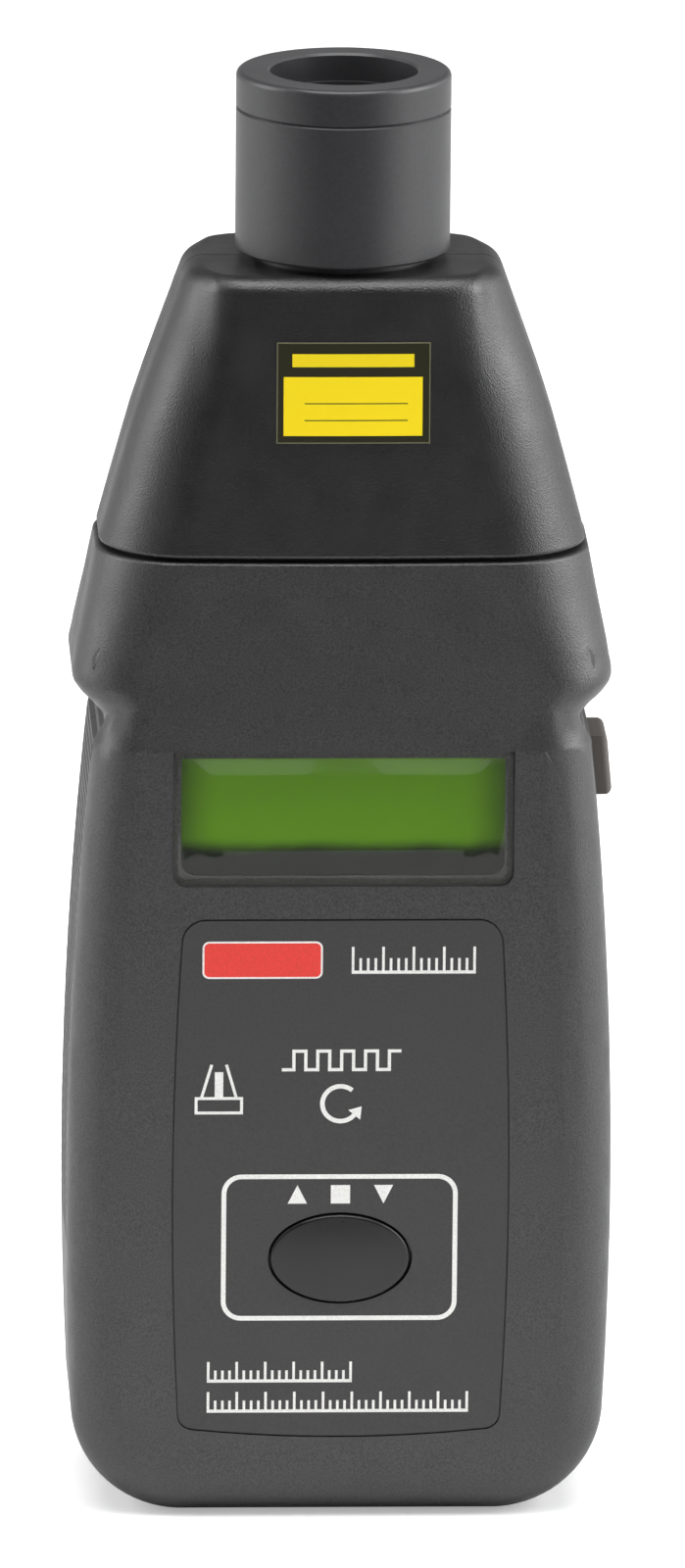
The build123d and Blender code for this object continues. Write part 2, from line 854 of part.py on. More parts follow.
# Memory key: a domed oval with a flange behind the front wall and a stem to its switch
key_front = front_depth(memory_height)
memory_stem_back = switch_height - board_front + memory_travel + stem_stop
key_dome_radius = (memory_half_width**2 + memory_dome**2) / (2 * memory_dome)
with BuildPart() as memory_button:
    with BuildSketch(Plane.XZ.offset(memory_flange_back)) as cap_outline:
        with Locations((0, memory_height)):
            Ellipse(memory_half_width, memory_half_height)
    extrude(amount=body_depth - memory_flange_back)
    with Locations((0, key_dome_radius - key_front - memory_dome, memory_height)):
        Sphere(key_dome_radius, mode=Mode.INTERSECT)
    fillet(memory_button.faces().sort_by(Axis.Y)[0].edges(), memory_edge_radius)
    with BuildSketch(Plane.XZ.offset(memory_flange_back)) as flange_outline:
        with Locations((0, memory_height)):
            Ellipse(memory_half_width + memory_flange, memory_half_height + memory_flange)
    extrude(amount=memory_flange_thickness)
    extrude(
        discs(Plane.XZ.offset(memory_stem_back), [(0, memory_height)], stem_radius),
        amount=memory_flange_back - memory_stem_back,
    )
finish(memory_button.part, "memory_button")

# Measure key on the side, its outer face leaning with the side of the handle
key_top_x = lower_half_width(measure_top) + measure_proud
key_bottom_x = lower_half_width(measure_bottom) + measure_proud
measure_stem_end = measure_switch_face + measure_travel + stem_stop
with BuildPart() as measure_button:
    with BuildSketch(Plane.XZ) as key_profile:
        with BuildLine():
            Polyline(
                (measure_flange_outside, measure_bottom),
                (key_bottom_x, measure_bottom),
                (key_top_x, measure_top),
                (measure_flange_outside, measure_top),
                close=True,
            )
        make_face()
    extrude(amount=measure_half_depth, both=True)
    outer_face = measure_button.faces().sort_by(Axis.X)[-1]
    fillet(outer_face.edges(), measure_edge_radius)
    with Locations((measure_flange_outside - measure_flange_thickness / 2, 0, key_height)):
        Box(
            measure_flange_thickness,
            2 * (measure_half_depth + measure_flange),
            measure_top - measure_bottom + 2 * measure_flange,
        )
    stem_plane = Plane(origin=(measure_stem_end, switch_y, key_height), z_dir=(1, 0, 0))
    with BuildSketch(stem_plane):
        Circle(stem_radius)
    extrude(amount=measure_flange_outside - measure_flange_thickness - measure_stem_end)
finish(measure_button.part, "measure_button")


def tact_switch(plane):
    """Switch body on a plane that faces the key, with the well that its plunger travels in."""
    with BuildPart() as body:
        with BuildSketch(plane):
            RectangleRounded(switch_size, switch_size, switch_corner)
        extrude(amount=-switch_height)
        with BuildSketch(plane):
            Circle(stem_radius + switch_gap)
        extrude(amount=-switch_well, mode=Mode.SUBTRACT)
    return body.part


def plunger(plane, start, length):
    """Round plunger that starts at a distance in front of a switch face and runs into its well."""
    with BuildPart() as pin:
        with BuildSketch(plane.offset(start)):
            Circle(plunger_radius)
        extrude(amount=-length)
    return pin.part


memory_face = Plane(origin=(0, board_front - switch_height, memory_height), z_dir=(0, -1, 0))
measure_face = Plane(origin=(measure_switch_face, switch_y, key_height), z_dir=(1, 0, 0))
finish(tact_switch(memory_face), "memory_switch")
finish(tact_switch(measure_face), "measure_switch")
memory_start = memory_stem_back - (switch_height - board_front)
finish(plunger(memory_face, memory_start, plunger_length), "memory_plunger")
measure_start = measure_stem_end - measure_switch_face
finish(plunger(measure_face, measure_start, plunger_length), "measure_plunger")

# Circuit board with the display, its frame and its contact strips
with BuildPart() as main_board:
    with BuildSketch(Plane.XZ.offset(-board_back)):
        with Locations((0, (board_bottom + board_top) / 2)):
            RectangleRounded(2 * board_half_width, board_top - board_bottom, board_corner)
        with Locations(*board_places):
            Circle(screw_clear_radius, mode=Mode.SUBTRACT)
    extrude(amount=board_thickness)
finish(main_board.part, "main_board")

lcd_middle = (lcd_bottom + lcd_top) / 2
lcd_height = lcd_top - lcd_bottom
with BuildPart() as lcd_frame:
    with BuildSketch(Plane.XZ.offset(-board_front)):
        with Locations((0, lcd_middle)):
            Rectangle(2 * (lcd_half_width + frame_wall), lcd_height + 2 * frame_wall)
            Rectangle(
                2 * (lcd_half_width - frame_rest), lcd_height - 2 * frame_rest, mode=Mode.SUBTRACT
            )
    extrude(amount=lcd_back + board_front)
    with BuildSketch(Plane.XZ.offset(lcd_back)):
        with Locations((0, lcd_middle)):
            Rectangle(2 * (lcd_half_width + frame_wall), lcd_height + 2 * frame_wall)
            Rectangle(2 * lcd_half_width, lcd_height, mode=Mode.SUBTRACT)
    extrude(amount=lcd_thickness)
    with BuildSketch(Plane.XZ.offset(lcd_back + lcd_thickness)):
        with Locations((0, lcd_middle)):
            Rectangle(2 * (lcd_half_width + frame_wall), lcd_height + 2 * frame_wall)
            Rectangle(
                2 * (lcd_half_width - frame_lip_overlap),
                lcd_height - 2 * frame_lip_overlap,
                mode=Mode.SUBTRACT,
            )
    extrude(amount=frame_lip)
finish(lcd_frame.part, "lcd_frame")

with BuildPart() as lcd_glass:
    with BuildSketch(Plane.XZ.offset(lcd_back)):
        with Locations((0, lcd_middle)):
            Rectangle(2 * lcd_half_width, lcd_height)
    extrude(amount=lcd_thickness)
finish(lcd_glass.part, "lcd_glass")

with BuildPart() as zebra_strips:
    with BuildSketch(Plane.XZ.offset(-board_front)):
        with Locations((0, lcd_middle)):
            with GridLocations(0, lcd_height - 2 * frame_rest - strip_width, 1, 2):
                Rectangle(2 * (lcd_half_width - strip_inset), strip_width)
    extrude(amount=lcd_back + board_front)
finish(zebra_strips.part, "zebra_strips")

# Parts soldered to the back of the board
with BuildPart() as main_chip:
    with BuildSketch(Plane.XZ.offset(-board_back)):
        with Locations((0, chip_height)):
            Rectangle(chip_size, chip_size)
    extrude(amount=-chip_thickness)
    with BuildSketch(Plane.XZ.offset(-board_back)):
        with Locations((0, chip_height)):
            with GridLocations(0, chip_pitch, 1, chip_leads):
                Rectangle(chip_size + 2 * chip_foot, chip_lead)
            with GridLocations(chip_pitch, 0, chip_leads, 1):
                Rectangle(chip_lead, chip_size + 2 * chip_foot)
    extrude(amount=-chip_lead)
finish(main_chip.part, "main_chip")


def on_board(place, height, width, length):
    """Block soldered to the back of the board, with rounded ends."""
    with BuildPart() as block:
        with BuildSketch(Plane.XZ.offset(-board_back)):
            with Locations(place):
                RectangleRounded(length, width, crystal_end_share * width)
        extrude(amount=-height)
    return block.part


finish(on_board(crystal_place, crystal_height, crystal_width, crystal_length), "crystal")

with BuildPart() as capacitors:
    with BuildSketch(Plane.XZ.offset(-board_back)):
        with Locations(*capacitor_places):
            Circle(capacitor_radius)
    extrude(amount=-capacitor_height)
finish(capacitors.part, "capacitors")

# Four cells side by side, every other one turned end for end
cell_places = [(number - 1.5) * cell_pitch for number in range(4)]
low_end = bay_bottom + plate_thickness
high_end = bay_top - plate_thickness


def cell(x, nub_up):
    """One AA cell with its nub against a plate and its flat end against a leaf spring."""
    length = cell_body_length + cell_nub_length
    start = high_end - length if nub_up else low_end + length
    direction = 1 if nub_up else -1
    with BuildPart() as can:
        with BuildSketch(Plane(origin=(x, cell_y, start), z_dir=(0, 0, direction))):
            Circle(cell_radius)
        extrude(amount=cell_body_length)
        ends = can.edges().filter_by(GeomType.CIRCLE)
        chamfer(ends, cell_bevel)
        with BuildSketch(Plane(origin=(x, cell_y, start), z_dir=(0, 0, direction))):
            Circle(cell_nub_radius)
        extrude(amount=length)
    return can.part


for number, place in enumerate(cell_places):
    finish(cell(place, number % 2 == 0), f"battery_{number + 1}")

# Contact plates against the end walls of the bay: two bridges and the two end plates
with BuildPart() as contact_plates:
    for z, spans in ((low_end, ((0, 1), (2, 3))), (bay_top, ((0, 0), (1, 2), (3, 3)))):
        for first, last in spans:
            middle = (cell_places[first] + cell_places[last]) / 2
            half = (cell_places[last] - cell_places[first]) / 2 + plate_half_width
            with BuildSketch(Plane.XY.offset(z)):
                with Locations((middle, cell_y)):
                    Rectangle(2 * half, 2 * plate_half_width)
            extrude(amount=-plate_thickness)
finish(contact_plates.part, "contact_plates")

# Leaf springs against the flat ends of the cells, bent from strip
with BuildPart() as leaf_springs:
    for number, place in enumerate(cell_places):
        base = low_end if number % 2 == 0 else high_end
        rise = leaf_rise if number % 2 == 0 else -leaf_rise
        gauge = leaf_thickness if number % 2 == 0 else -leaf_thickness
        with BuildSketch(Plane.YZ.offset(place - leaf_half_width)) as bend:
            with BuildLine():
                Polyline(
                    (cell_y - plate_half_width, base),
                    (cell_y + plate_half_width, base),
                    (cell_y + plate_half_width, base + gauge),
                    (cell_y - leaf_heel_share * plate_half_width, base + gauge),
                    (cell_y + leaf_crest_share * plate_half_width, base + rise - gauge),
                    (cell_y + leaf_crest_share * plate_half_width, base + rise),
                    (cell_y + leaf_slope_share * plate_half_width, base + rise),
                    (cell_y - plate_half_width, base + gauge),
                    close=True,
                )
            make_face()
        extrude(bend.sketch, amount=2 * leaf_half_width)
finish(leaf_springs.part, "leaf_springs")

# Leads from the end wall of the bay to the board, each two arcs between straight runs
lead_start = bay_top + bay_wall
with BuildPart() as battery_leads:
    for side in (-1, 1):
        x = side * lead_x
        first_bend = lead_start + lead_rise
        with BuildLine() as path:
            FilletPolyline(
                (x, lead_y, lead_start),
                (x, lead_y, first_bend),
                (x, lead_y - lead_slant, first_bend + lead_slant),
                (x, board_back, first_bend + lead_slant),
                radius=lead_bend_radius,
            )
        with BuildSketch(Plane.XY.offset(lead_start)) as wire:
            with Locations((x, lead_y)):
                Circle(lead_radius)
        sweep(wire.sketch, path=path.wire())
finish(battery_leads.part, "battery_leads")


def self_tapping_screws(places, head_y, length):
    """Screws driven from the back: pan heads with a crossed recess on plain shanks."""
    with BuildPart() as screws:
        extrude(discs(Plane.XZ.offset(-head_y), places, screw_head_radius), amount=-screw_head_height)
        rims = screws.edges().filter_by(GeomType.CIRCLE).group_by(Axis.Y)[-1]
        fillet(rims, screw_head_radius * head_round_share)
        extrude(discs(Plane.XZ.offset(-head_y), places, screw_shank_radius), amount=length)
        for turn in (0, 90):
            with BuildSketch(Plane.XZ.offset(-head_y - screw_head_height)) as cross:
                with Locations(*places):
                    Rectangle(cross_length, cross_width, rotation=turn)
            extrude(cross.sketch, amount=cross_depth, mode=Mode.SUBTRACT)
    return screws.part


finish(self_tapping_screws(pillar_places, body_head_seat, casing_screw_length), "body_screws")
finish(self_tapping_screws(nose_places, nose_head_seat, nose_screw_length), "nose_screws")
finish(self_tapping_screws(board_places, board_back, board_screw_length), "board_screws")

# Sticker on the nose, a thin sheet that follows its crowned front
with BuildPart() as nose_sticker:
    with BuildSketch(Plane.XZ):
        with Locations(((sticker_left + sticker_right) / 2, (sticker_bottom + sticker_top) / 2)):
            Rectangle(sticker_right - sticker_left, sticker_top - sticker_bottom)
    extrude(amount=body_depth)
    add(nose_form(-sticker_thickness), mode=Mode.INTERSECT)
    add(nose_outer, mode=Mode.SUBTRACT)
finish(nose_sticker.part, "nose_sticker")
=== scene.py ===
import logging
import math
from dataclasses import dataclass
from enum import Enum

import bmesh
import bpy
import numpy as np
from mathutils import Matrix, Vector


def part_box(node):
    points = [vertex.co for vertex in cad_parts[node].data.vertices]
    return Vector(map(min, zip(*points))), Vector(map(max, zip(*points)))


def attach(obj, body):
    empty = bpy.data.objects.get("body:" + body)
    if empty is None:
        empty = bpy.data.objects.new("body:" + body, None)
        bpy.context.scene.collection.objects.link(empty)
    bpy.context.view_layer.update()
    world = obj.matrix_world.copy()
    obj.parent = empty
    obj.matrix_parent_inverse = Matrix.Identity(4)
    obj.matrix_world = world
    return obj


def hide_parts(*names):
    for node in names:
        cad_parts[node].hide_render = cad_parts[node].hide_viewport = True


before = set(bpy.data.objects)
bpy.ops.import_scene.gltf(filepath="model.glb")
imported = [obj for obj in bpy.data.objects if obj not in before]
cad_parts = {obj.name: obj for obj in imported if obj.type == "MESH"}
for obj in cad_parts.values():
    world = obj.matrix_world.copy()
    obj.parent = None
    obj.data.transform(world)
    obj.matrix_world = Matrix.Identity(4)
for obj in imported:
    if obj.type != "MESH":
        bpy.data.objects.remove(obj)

# Looks of a hand-held optical tachometer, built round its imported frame.
#
# The frame's +Z runs up the handle to the nose, -Y is the side of the display and +X the side of
# the measure key. Names that end in _mm hold millimetres and names that end in _px hold pixels
# of a picture of 699 by 1600. Everything that goes into a mesh is in metres.

LOG = logging.getLogger("tachometer")
MM = 0.001
COMMON_NOISE = (0.3, 0.7)  # nearly all of a noise node's values lie between these
Rgba = tuple[float, float, float, float]
Tree = bpy.types.NodeTree
Socket = bpy.types.NodeSocket
Material = bpy.types.Material
Piece = bpy.types.Object


class Body(Enum):
    """The body of the frame that the new pieces ride on."""

    CASE = "root"


class Slot(Enum):
    """The record's material slots."""

    CASING = "casing_abs"
    LABEL = "label_film"
    WINDOW = "window_acrylic"


def linear(hex_colour: str) -> Rgba:
    """Turn an sRGB hex colour into linear colour.

    Args:
        hex_colour: the colour as "#rrggbb".

    Returns:
        Red, green, blue and an alpha of 1, with the sRGB curve undone.
    """
    share = np.array([int(hex_colour[at:at + 2], 16) for at in (1, 3, 5)]) / 255
    straight = share / 12.92
    curved = ((share + 0.055) / 1.055) ** 2.4
    return (*np.where(share <= 0.04045, straight, curved).tolist(), 1.0)


def add_node(tree: Tree, kind: str, sockets: dict, **settings) -> bpy.types.Node:
    """Add one node to a tree with its settings, its values and its links.

    Args:
        tree: the node tree.
        kind: the node's type name.
        sockets: input name or number to a value, or to the output socket that feeds it.
        settings: attributes of the node itself.

    Returns:
        The new node.
    """
    node = tree.nodes.new(kind)
    for name, value in settings.items():
        setattr(node, name, value)
    for key, value in sockets.items():
        if isinstance(value, Socket):
            tree.links.new(value, node.inputs[key])
        else:
            node.inputs[key].default_value = value
    return node


def empty_material(name: str) -> Material:
    """Make a material whose node tree is empty."""
    material = bpy.data.materials.new(name)
    material.use_nodes = True
    material.node_tree.nodes.clear()
    return material


def object_place(tree: Tree) -> Socket:
    """Give the socket of a tree that holds a point's place in the object's own frame."""
    return add_node(tree, "ShaderNodeTexCoord", {}).outputs["Object"]


def close_with(tree: Tree, shader: Socket) -> None:
    """Send a shader to the surface output of a material."""
    add_node(tree, "ShaderNodeOutputMaterial", {"Surface": shader})


def noise(tree: Tree, size_mm: float, detail: float) -> Socket:
    """Give smooth noise over the object's own frame, between 0 and 1.

    Args:
        tree: the node tree.
        size_mm: distance from one patch to the next.
        detail: how many finer layers are added.

    Returns:
        The socket of the noise.
    """
    sockets = {"Vector": object_place(tree), "Scale": 1 / (size_mm * MM), "Detail": detail}
    return add_node(tree, "ShaderNodeTexNoise", sockets).outputs["Fac"]


def ramp(
    tree: Tree,
    value: Socket,
    ends: tuple[float, float],
    results: tuple[float, float] = (0.0, 1.0),
    kind: str = "LINEAR",
) -> Socket:
    """Map a value between two ends to a value between two results, and hold it beyond them.

    Args:
        tree: the node tree.
        value: the socket mapped.
        ends: where the ramp starts and ends.
        results: what it gives there.
        kind: how it runs between them.

    Returns:
        The socket of the result.
    """
    sockets = dict(zip(("From Min", "From Max", "To Min", "To Max"), (*ends, *results)))
    sockets["Value"] = value
    return add_node(tree, "ShaderNodeMapRange", sockets, interpolation_type=kind).outputs["Result"]


def bump(tree: Tree, height: Socket, distance_mm: float, strength: float = 1.0) -> Socket:
    """Give the normal of a surface with a fine relief of a given height."""
    sockets = {"Height": height, "Strength": strength, "Distance": distance_mm * MM}
    return add_node(tree, "ShaderNodeBump", sockets).outputs["Normal"]


def plastic(tree: Tree, sockets: dict) -> Socket:
    """Give the shader of a Principled surface with the sockets named."""
    return add_node(tree, "ShaderNodeBsdfPrincipled", sockets).outputs["BSDF"]


def blend(tree: Tree, share: Socket, first: Rgba | Socket, second: Rgba | Socket) -> Socket:
    """Give a colour between two: the first where the share is 0, the second where it is 1."""
    mixed = add_node(tree, "ShaderNodeMix", {0: share, 6: first, 7: second}, data_type="RGBA")
    return mixed.outputs[2]


def add_object(name: str, data: bpy.types.ID) -> Piece:
    """Put a new object into the scene."""
    made = bpy.data.objects.new(name, data)
    bpy.context.scene.collection.objects.link(made)
    return made


@dataclass(frozen=True)
class Grain:
    """The fine relief of a moulded or pressed surface.

    Attributes:
        size_mm: distance from one grain to the next.
        height_mm: height from the valleys to the tops.
        coarse_mm: size of the slow patches in gloss.
        gloss_spread: how far the roughness swings between those patches.
        painted_grain_shade: how far the colour swings from the valleys to the tops, as a share of
            itself: painted shade of the relief, darker in the valleys and lighter on the tops.
    """

    size_mm: float
    height_mm: float
    coarse_mm: float = 6.0
    gloss_spread: float = 0.06
    painted_grain_shade: float = 0.1


@dataclass(frozen=True)
class MouldedPlastic:
    """An injection moulded plastic whose skin copies the finish of its tool.

    Attributes:
        name: the material's name.
        colour: sRGB hex colour of the plastic.
        roughness: mean roughness of the skin.
        grain: relief that the tool leaves.
        ior: index of refraction of the polymer.
    """

    name: str
    colour: str
    roughness: float
    grain: Grain
    ior: float = 1.5

    def material(self) -> Material:
        """Build the material: grain as bump with painted shade in its colour, slow swings in gloss.

        Returns:
            The finished material.
        """
        material = empty_material(self.name)
        tree = material.node_tree
        grain = self.grain
        fine = noise(tree, grain.size_mm, 0.6)
        slow = noise(tree, grain.coarse_mm, 3.0)
        swing = (self.roughness - grain.gloss_spread, self.roughness + grain.gloss_spread)
        # Painted shade of the grain: the colour follows the bump's height, darker in the valleys.
        light = ramp(tree, fine, COMMON_NOISE, (1 - grain.painted_grain_shade, 1 + grain.painted_grain_shade))
        colour = {0: linear(self.colour)[:3], "Scale": light}
        tone = add_node(tree, "ShaderNodeVectorMath", colour, operation="SCALE")
        skin = plastic(
            tree,
            {
                "Base Color": tone.outputs["Vector"],
                "Roughness": ramp(tree, slow, COMMON_NOISE, swing),
                "IOR": self.ior,
                "Normal": bump(tree, fine, grain.height_mm),
            },
        )
        close_with(tree, skin)
        return material


# ABS moulded in a spark-eroded tool: matt, with a fine sparkle wherever a lamp is mirrored.
# The real grain is near 0.1 mm. It is drawn at about twice that, so that it shows.
# Its colour swings by half with the grain's height: painted shade of the relief.
SPARK_ERODED = Grain(0.22, 0.04, 6.0, 0.05, 0.5)
CASE_ABS = MouldedPlastic("charcoal_abs_spark_eroded", "#2c2c2d", 0.43, SPARK_ERODED, 1.6)
# The nose is ABS in a much darker colour than the case, from a similar tool, a little glossier.
# Its colour too swings by half with the grain's height, as painted shade.
DEEPER_GRAIN = Grain(0.22, 0.05, 6.0, 0.05, 0.5)
NOSE_ABS = MouldedPlastic("black_abs_spark_eroded", "#0f0f10", 0.4, DEEPER_GRAIN, 1.64)
# The collar comes off a lathe-cut tool: smooth satin with almost no grain.
COLLAR_ABS = MouldedPlastic("black_abs_satin", "#323234", 0.36, Grain(0.5, 0.003, 9.0, 0.03))
# Keys are moulded in a finer tool than the case, so their highlights are softer and whole.
KEY_ABS = MouldedPlastic("black_abs_key", "#181717", 0.3, Grain(0.2, 0.006, 4.0, 0.03))
# The side key is a softer, warm grey moulding.
SIDE_KEY_ABS = MouldedPlastic("warm_grey_abs_key", "#544f4b", 0.45, Grain(0.2, 0.012, 4.0, 0.03))
# The screen-printed film of the front label: flat dark grey with a barely pebbled face.
LABEL_FILM = MouldedPlastic("dark_grey_label_film", "#353434", 0.5, Grain(0.35, 0.006, 8.0, 0.04))
# Plain black parts inside, moulded in polished tools.
FRAME_NYLON = MouldedPlastic("black_nylon_moulded", "#101010", 0.45, Grain(0.4, 0.004))
# Compression-moulded epoxy of the chip and the sensor.
CHIP_EPOXY = MouldedPlastic("black_epoxy_compound", "#0c0c0c", 0.55, Grain(0.15, 0.006, 2.0))
# Silicone strips loaded with carbon.
STRIP_SILICONE = MouldedPlastic("carbon_silicone", "#26262a", 0.6, Grain(0.2, 0.004, 2.0), 1.41)
# Extruded PVC of the battery leads.
LEAD_PVC = MouldedPlastic("red_pvc_extruded", "#9c1d17", 0.35, Grain(0.6, 0.002, 3.0), 1.53)
# Solder resist over glass laminate: glossy, dyed green.
SOLDER_RESIST = MouldedPlastic("green_solder_resist", "#12492a", 0.25, Grain(0.4, 0.006, 3.0), 1.55)
# White screen ink on the label: dry, a little chalky.
WHITE_INK = MouldedPlastic("white_screen_ink", "#e9e9e6", 0.6, Grain(0.15, 0.003, 2.0), 1.5)
# Red screen ink, printed over white.
RED_INK = MouldedPlastic("red_screen_ink", "#e2392f", 0.5, Grain(0.15, 0.003, 2.0), 1.5)


@dataclass(frozen=True)
class Metal:
    """A plated or turned metal part.

    Attributes:
        name: the material's name.
        colour: sRGB hex colour of the metal.
        roughness: mean roughness.
        tool_mark_mm: spacing of the marks left by the tool.
    """

    name: str
    colour: str
    roughness: float
    tool_mark_mm: float

    def material(self) -> Material:
        """Build the material: metal with fine tool marks in its gloss and relief.

        Returns:
            The finished material.
        """
        material = empty_material(self.name)
        tree = material.node_tree
        marks = noise(tree, self.tool_mark_mm, 3.0)
        skin = plastic(
            tree,
            {
                "Base Color": linear(self.colour),
                "Metallic": 1.0,
                "Roughness": ramp(tree, marks, (0, 1), (self.roughness * 0.7, self.roughness * 1.3)),
                "Normal": bump(tree, marks, 0.004, 0.4),
            },
        )
        close_with(tree, skin)
        return material


# Bright nickel over steel, dulled a little by handling.
NICKEL_STEEL = Metal("nickel_plated_steel", "#c9c6bd", 0.28, 0.4)
# Turned brass barrel of the light source.
TURNED_BRASS = Metal("turned_brass", "#c7a256", 0.3, 0.25)
# Plain tinned can of a cell.
CELL_CAN = Metal("tinned_steel_can", "#8d9096", 0.35, 0.8)


@dataclass(frozen=True)
class ClearPane:
    """A clear hard optical part, such as cast acrylic or polished glass.

    Attributes:
        name: the material's name.
        tint: sRGB hex colour of what passes through.
        roughness: roughness of its polished faces.
        ior: index of refraction.
    """

    name: str
    tint: str
    roughness: float
    ior: float

    def material(self) -> Material:
        """Build the material: a refracting pane that lets lamp light through to what it covers.

        Returns:
            The finished material.
        """
        material = empty_material(self.name)
        tree = material.node_tree
        pane = plastic(
            tree,
            {
                "Base Color": linear(self.tint),
                "Roughness": self.roughness,
                "IOR": self.ior,
                "Transmission Weight": 1.0,
                "Normal": bump(tree, noise(tree, 5.0, 1.0), 0.01, 0.3),
            },
        )
        passing = add_node(tree, "ShaderNodeBsdfTransparent", {"Color": linear(self.tint)})
        path = add_node(tree, "ShaderNodeLightPath", {})
        mixed = add_node(
            tree, "ShaderNodeMixShader",
            {0: path.outputs["Is Shadow Ray"], 1: pane, 2: passing.outputs["BSDF"]},
        )
        close_with(tree, mixed.outputs["Shader"])
        return material


# Cast acrylic of the display window. The index is lower than acrylic's, for its anti-glare coat.
ACRYLIC = ClearPane("clear_cast_acrylic", "#f4f7ef", 0.03, 1.36)
# Polished crown glass of the lens behind the aperture.
LENS_GLASS = ClearPane("polished_crown_glass", "#eef4f6", 0.0, 1.52)


@dataclass(frozen=True)
class DisplayGlass:
    """The reflective display: green, with painted shade that darkens it to nearly black along its
    foot and a little towards its sides.

    Attributes:
        name: the material's name.
        green: sRGB hex colour of the green field, outside the painted shade.
        edge: sRGB hex colour of the painted shade towards the sides.
        foot: sRGB hex colour of the painted shade along the foot.
        shade_start_mm: height at which the green has faded out into that painted shade.
        shade_end_mm: height at which the green is full.
        side_mm: distance from the middle at which the painted shade of the sides begins.
        fade_mm: width over which it darkens.
        cloud_mm: size of the patches that the painted shade's edge along the foot wanders by.
        wander_mm: how far it wanders.
    """

    name: str
    green: str
    edge: str
    foot: str
    shade_start_mm: float
    shade_end_mm: float
    side_mm: float
    fade_mm: float = 5.0
    cloud_mm: float = 7.0
    wander_mm: float = 1.2

    def material(self) -> Material:
        """Build the material: green, with painted shade over height and over the distance from the
        middle.

        Returns:
            The finished material.
        """
        material = empty_material(self.name)
        tree = material.node_tree
        axes = add_node(tree, "ShaderNodeSeparateXYZ", {0: object_place(tree)})
        wander = add_node(
            tree, "ShaderNodeMath",
            {0: noise(tree, self.cloud_mm, 2.0), 1: self.wander_mm * MM, 2: axes.outputs["Z"]},
            operation="MULTIPLY_ADD",
        )
        # Painted shade: below a wandering edge the green fades to the dark foot colour, and towards
        # the sides to the darker edge colour.
        foot = (self.shade_start_mm * MM, self.shade_end_mm * MM)
        rise = ramp(tree, wander.outputs[0], foot, kind="SMOOTHERSTEP")
        aside = add_node(tree, "ShaderNodeMath", {0: axes.outputs["X"]}, operation="ABSOLUTE")
        fade = (self.side_mm * MM, (self.side_mm + self.fade_mm) * MM)
        side = ramp(tree, aside.outputs[0], fade, kind="SMOOTHSTEP")
        field = blend(tree, side, linear(self.green), linear(self.edge))
        lit = blend(tree, rise, linear(self.foot), field)
        skin = {"Base Color": lit, "Roughness": 0.5, "Specular IOR Level": 0.05}
        close_with(tree, plastic(tree, skin))
        return material


@dataclass(frozen=True)
class Field:
    """An upright rectangle on the sticker: its left, right, bottom and top ends in millimetres."""

    left_mm: float
    right_mm: float
    bottom_mm: float
    top_mm: float


@dataclass(frozen=True)
class StickerFilm:
    """A glossy printed film: plain fields and thin rules laid over each other in order.

    Attributes:
        name: the material's name.
        ground: sRGB hex colour of the film's outer edge.
        fields: rectangles with their sRGB hex colours, each over the ones before it.
    """

    name: str
    ground: str
    fields: tuple[tuple[Field, str], ...]

    def material(self) -> Material:
        """Build the material: every field is where both axes lie between its ends.

        Returns:
            The finished material.
        """
        material = empty_material(self.name)
        tree = material.node_tree
        axes = add_node(tree, "ShaderNodeSeparateXYZ", {0: object_place(tree)})
        ink = linear(self.ground)
        for field, colour in self.fields:
            across = self._between(tree, axes.outputs["X"], field.left_mm, field.right_mm)
            along = self._between(tree, axes.outputs["Z"], field.bottom_mm, field.top_mm)
            inside = add_node(tree, "ShaderNodeMath", {0: across, 1: along}, operation="MULTIPLY")
            ink = blend(tree, inside.outputs[0], ink, linear(colour))
        relief = bump(tree, noise(tree, 3.0, 2.0), 0.01, 0.3)
        skin = {"Base Color": ink, "Roughness": 0.4, "IOR": 1.45, "Normal": relief}
        close_with(tree, plastic(tree, skin))
        return material

    @staticmethod
    def _between(
        tree: Tree, value: Socket, low_mm: float, high_mm: float
    ) -> Socket:
        """Give 1 where a value lies between two ends and 0 elsewhere.

        Args:
            tree: the node tree.
            value: the socket tested, in metres.
            low_mm: lower end.
            high_mm: upper end.

        Returns:
            The socket of the test: the distance from the middle is at most half the span.
        """
        middle, half = (low_mm + high_mm) / 2 * MM, (high_mm - low_mm) / 2 * MM
        sockets = {0: value, 1: middle, 2: half}
        return add_node(tree, "ShaderNodeMath", sockets, operation="COMPARE").outputs[0]


# The display cell behind the window, with painted shade along its foot and towards its sides.
DISPLAY_GLASS = DisplayGlass(
    "green_display_glass_painted_shade", "#608f10", "#486c0c", "#0b0e06", 89.6, 92.6, 16.0
)
# Laminated film: a thin bare edge, a dark border and header, and a yellow field with plain rules.
STICKER_FILM = StickerFilm(
    "yellow_laminated_film",
    "#6b6a52",
    (
        (Field(-8.85, 10.65, 144.35, 157.25), "#24230f"),
        (Field(-8.1, 9.8, 145.2, 152.9), "#fbdf08"),
        (Field(-7.0, 8.7, 154.2, 155.9), "#f2d80c"),
        (Field(-5.4, 7.9, 149.35, 149.5), "#3d3a10"),
        (Field(-5.4, 7.9, 147.15, 147.3), "#3d3a10"),
    ),
)


def read_rows(collection: bpy.types.bpy_prop_collection, name: str) -> np.ndarray:
    """Read a three-part property of every item of a collection into rows."""
    flat = np.empty(len(collection) * 3, dtype=np.float32)
    collection.foreach_get(name, flat)
    return flat.reshape(-1, 3).astype(float)


def dress(names: list[str], material: Material) -> None:
    """Give frame nodes a material in every slot.

    Args:
        names: the nodes.
        material: what they are made of.
    """
    for name in names:
        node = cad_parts[name]
        if not node.material_slots:
            node.data.materials.append(material)
        for slot in node.material_slots:
            slot.material = material
        LOG.info("%s is dressed as %s", name, material.name)


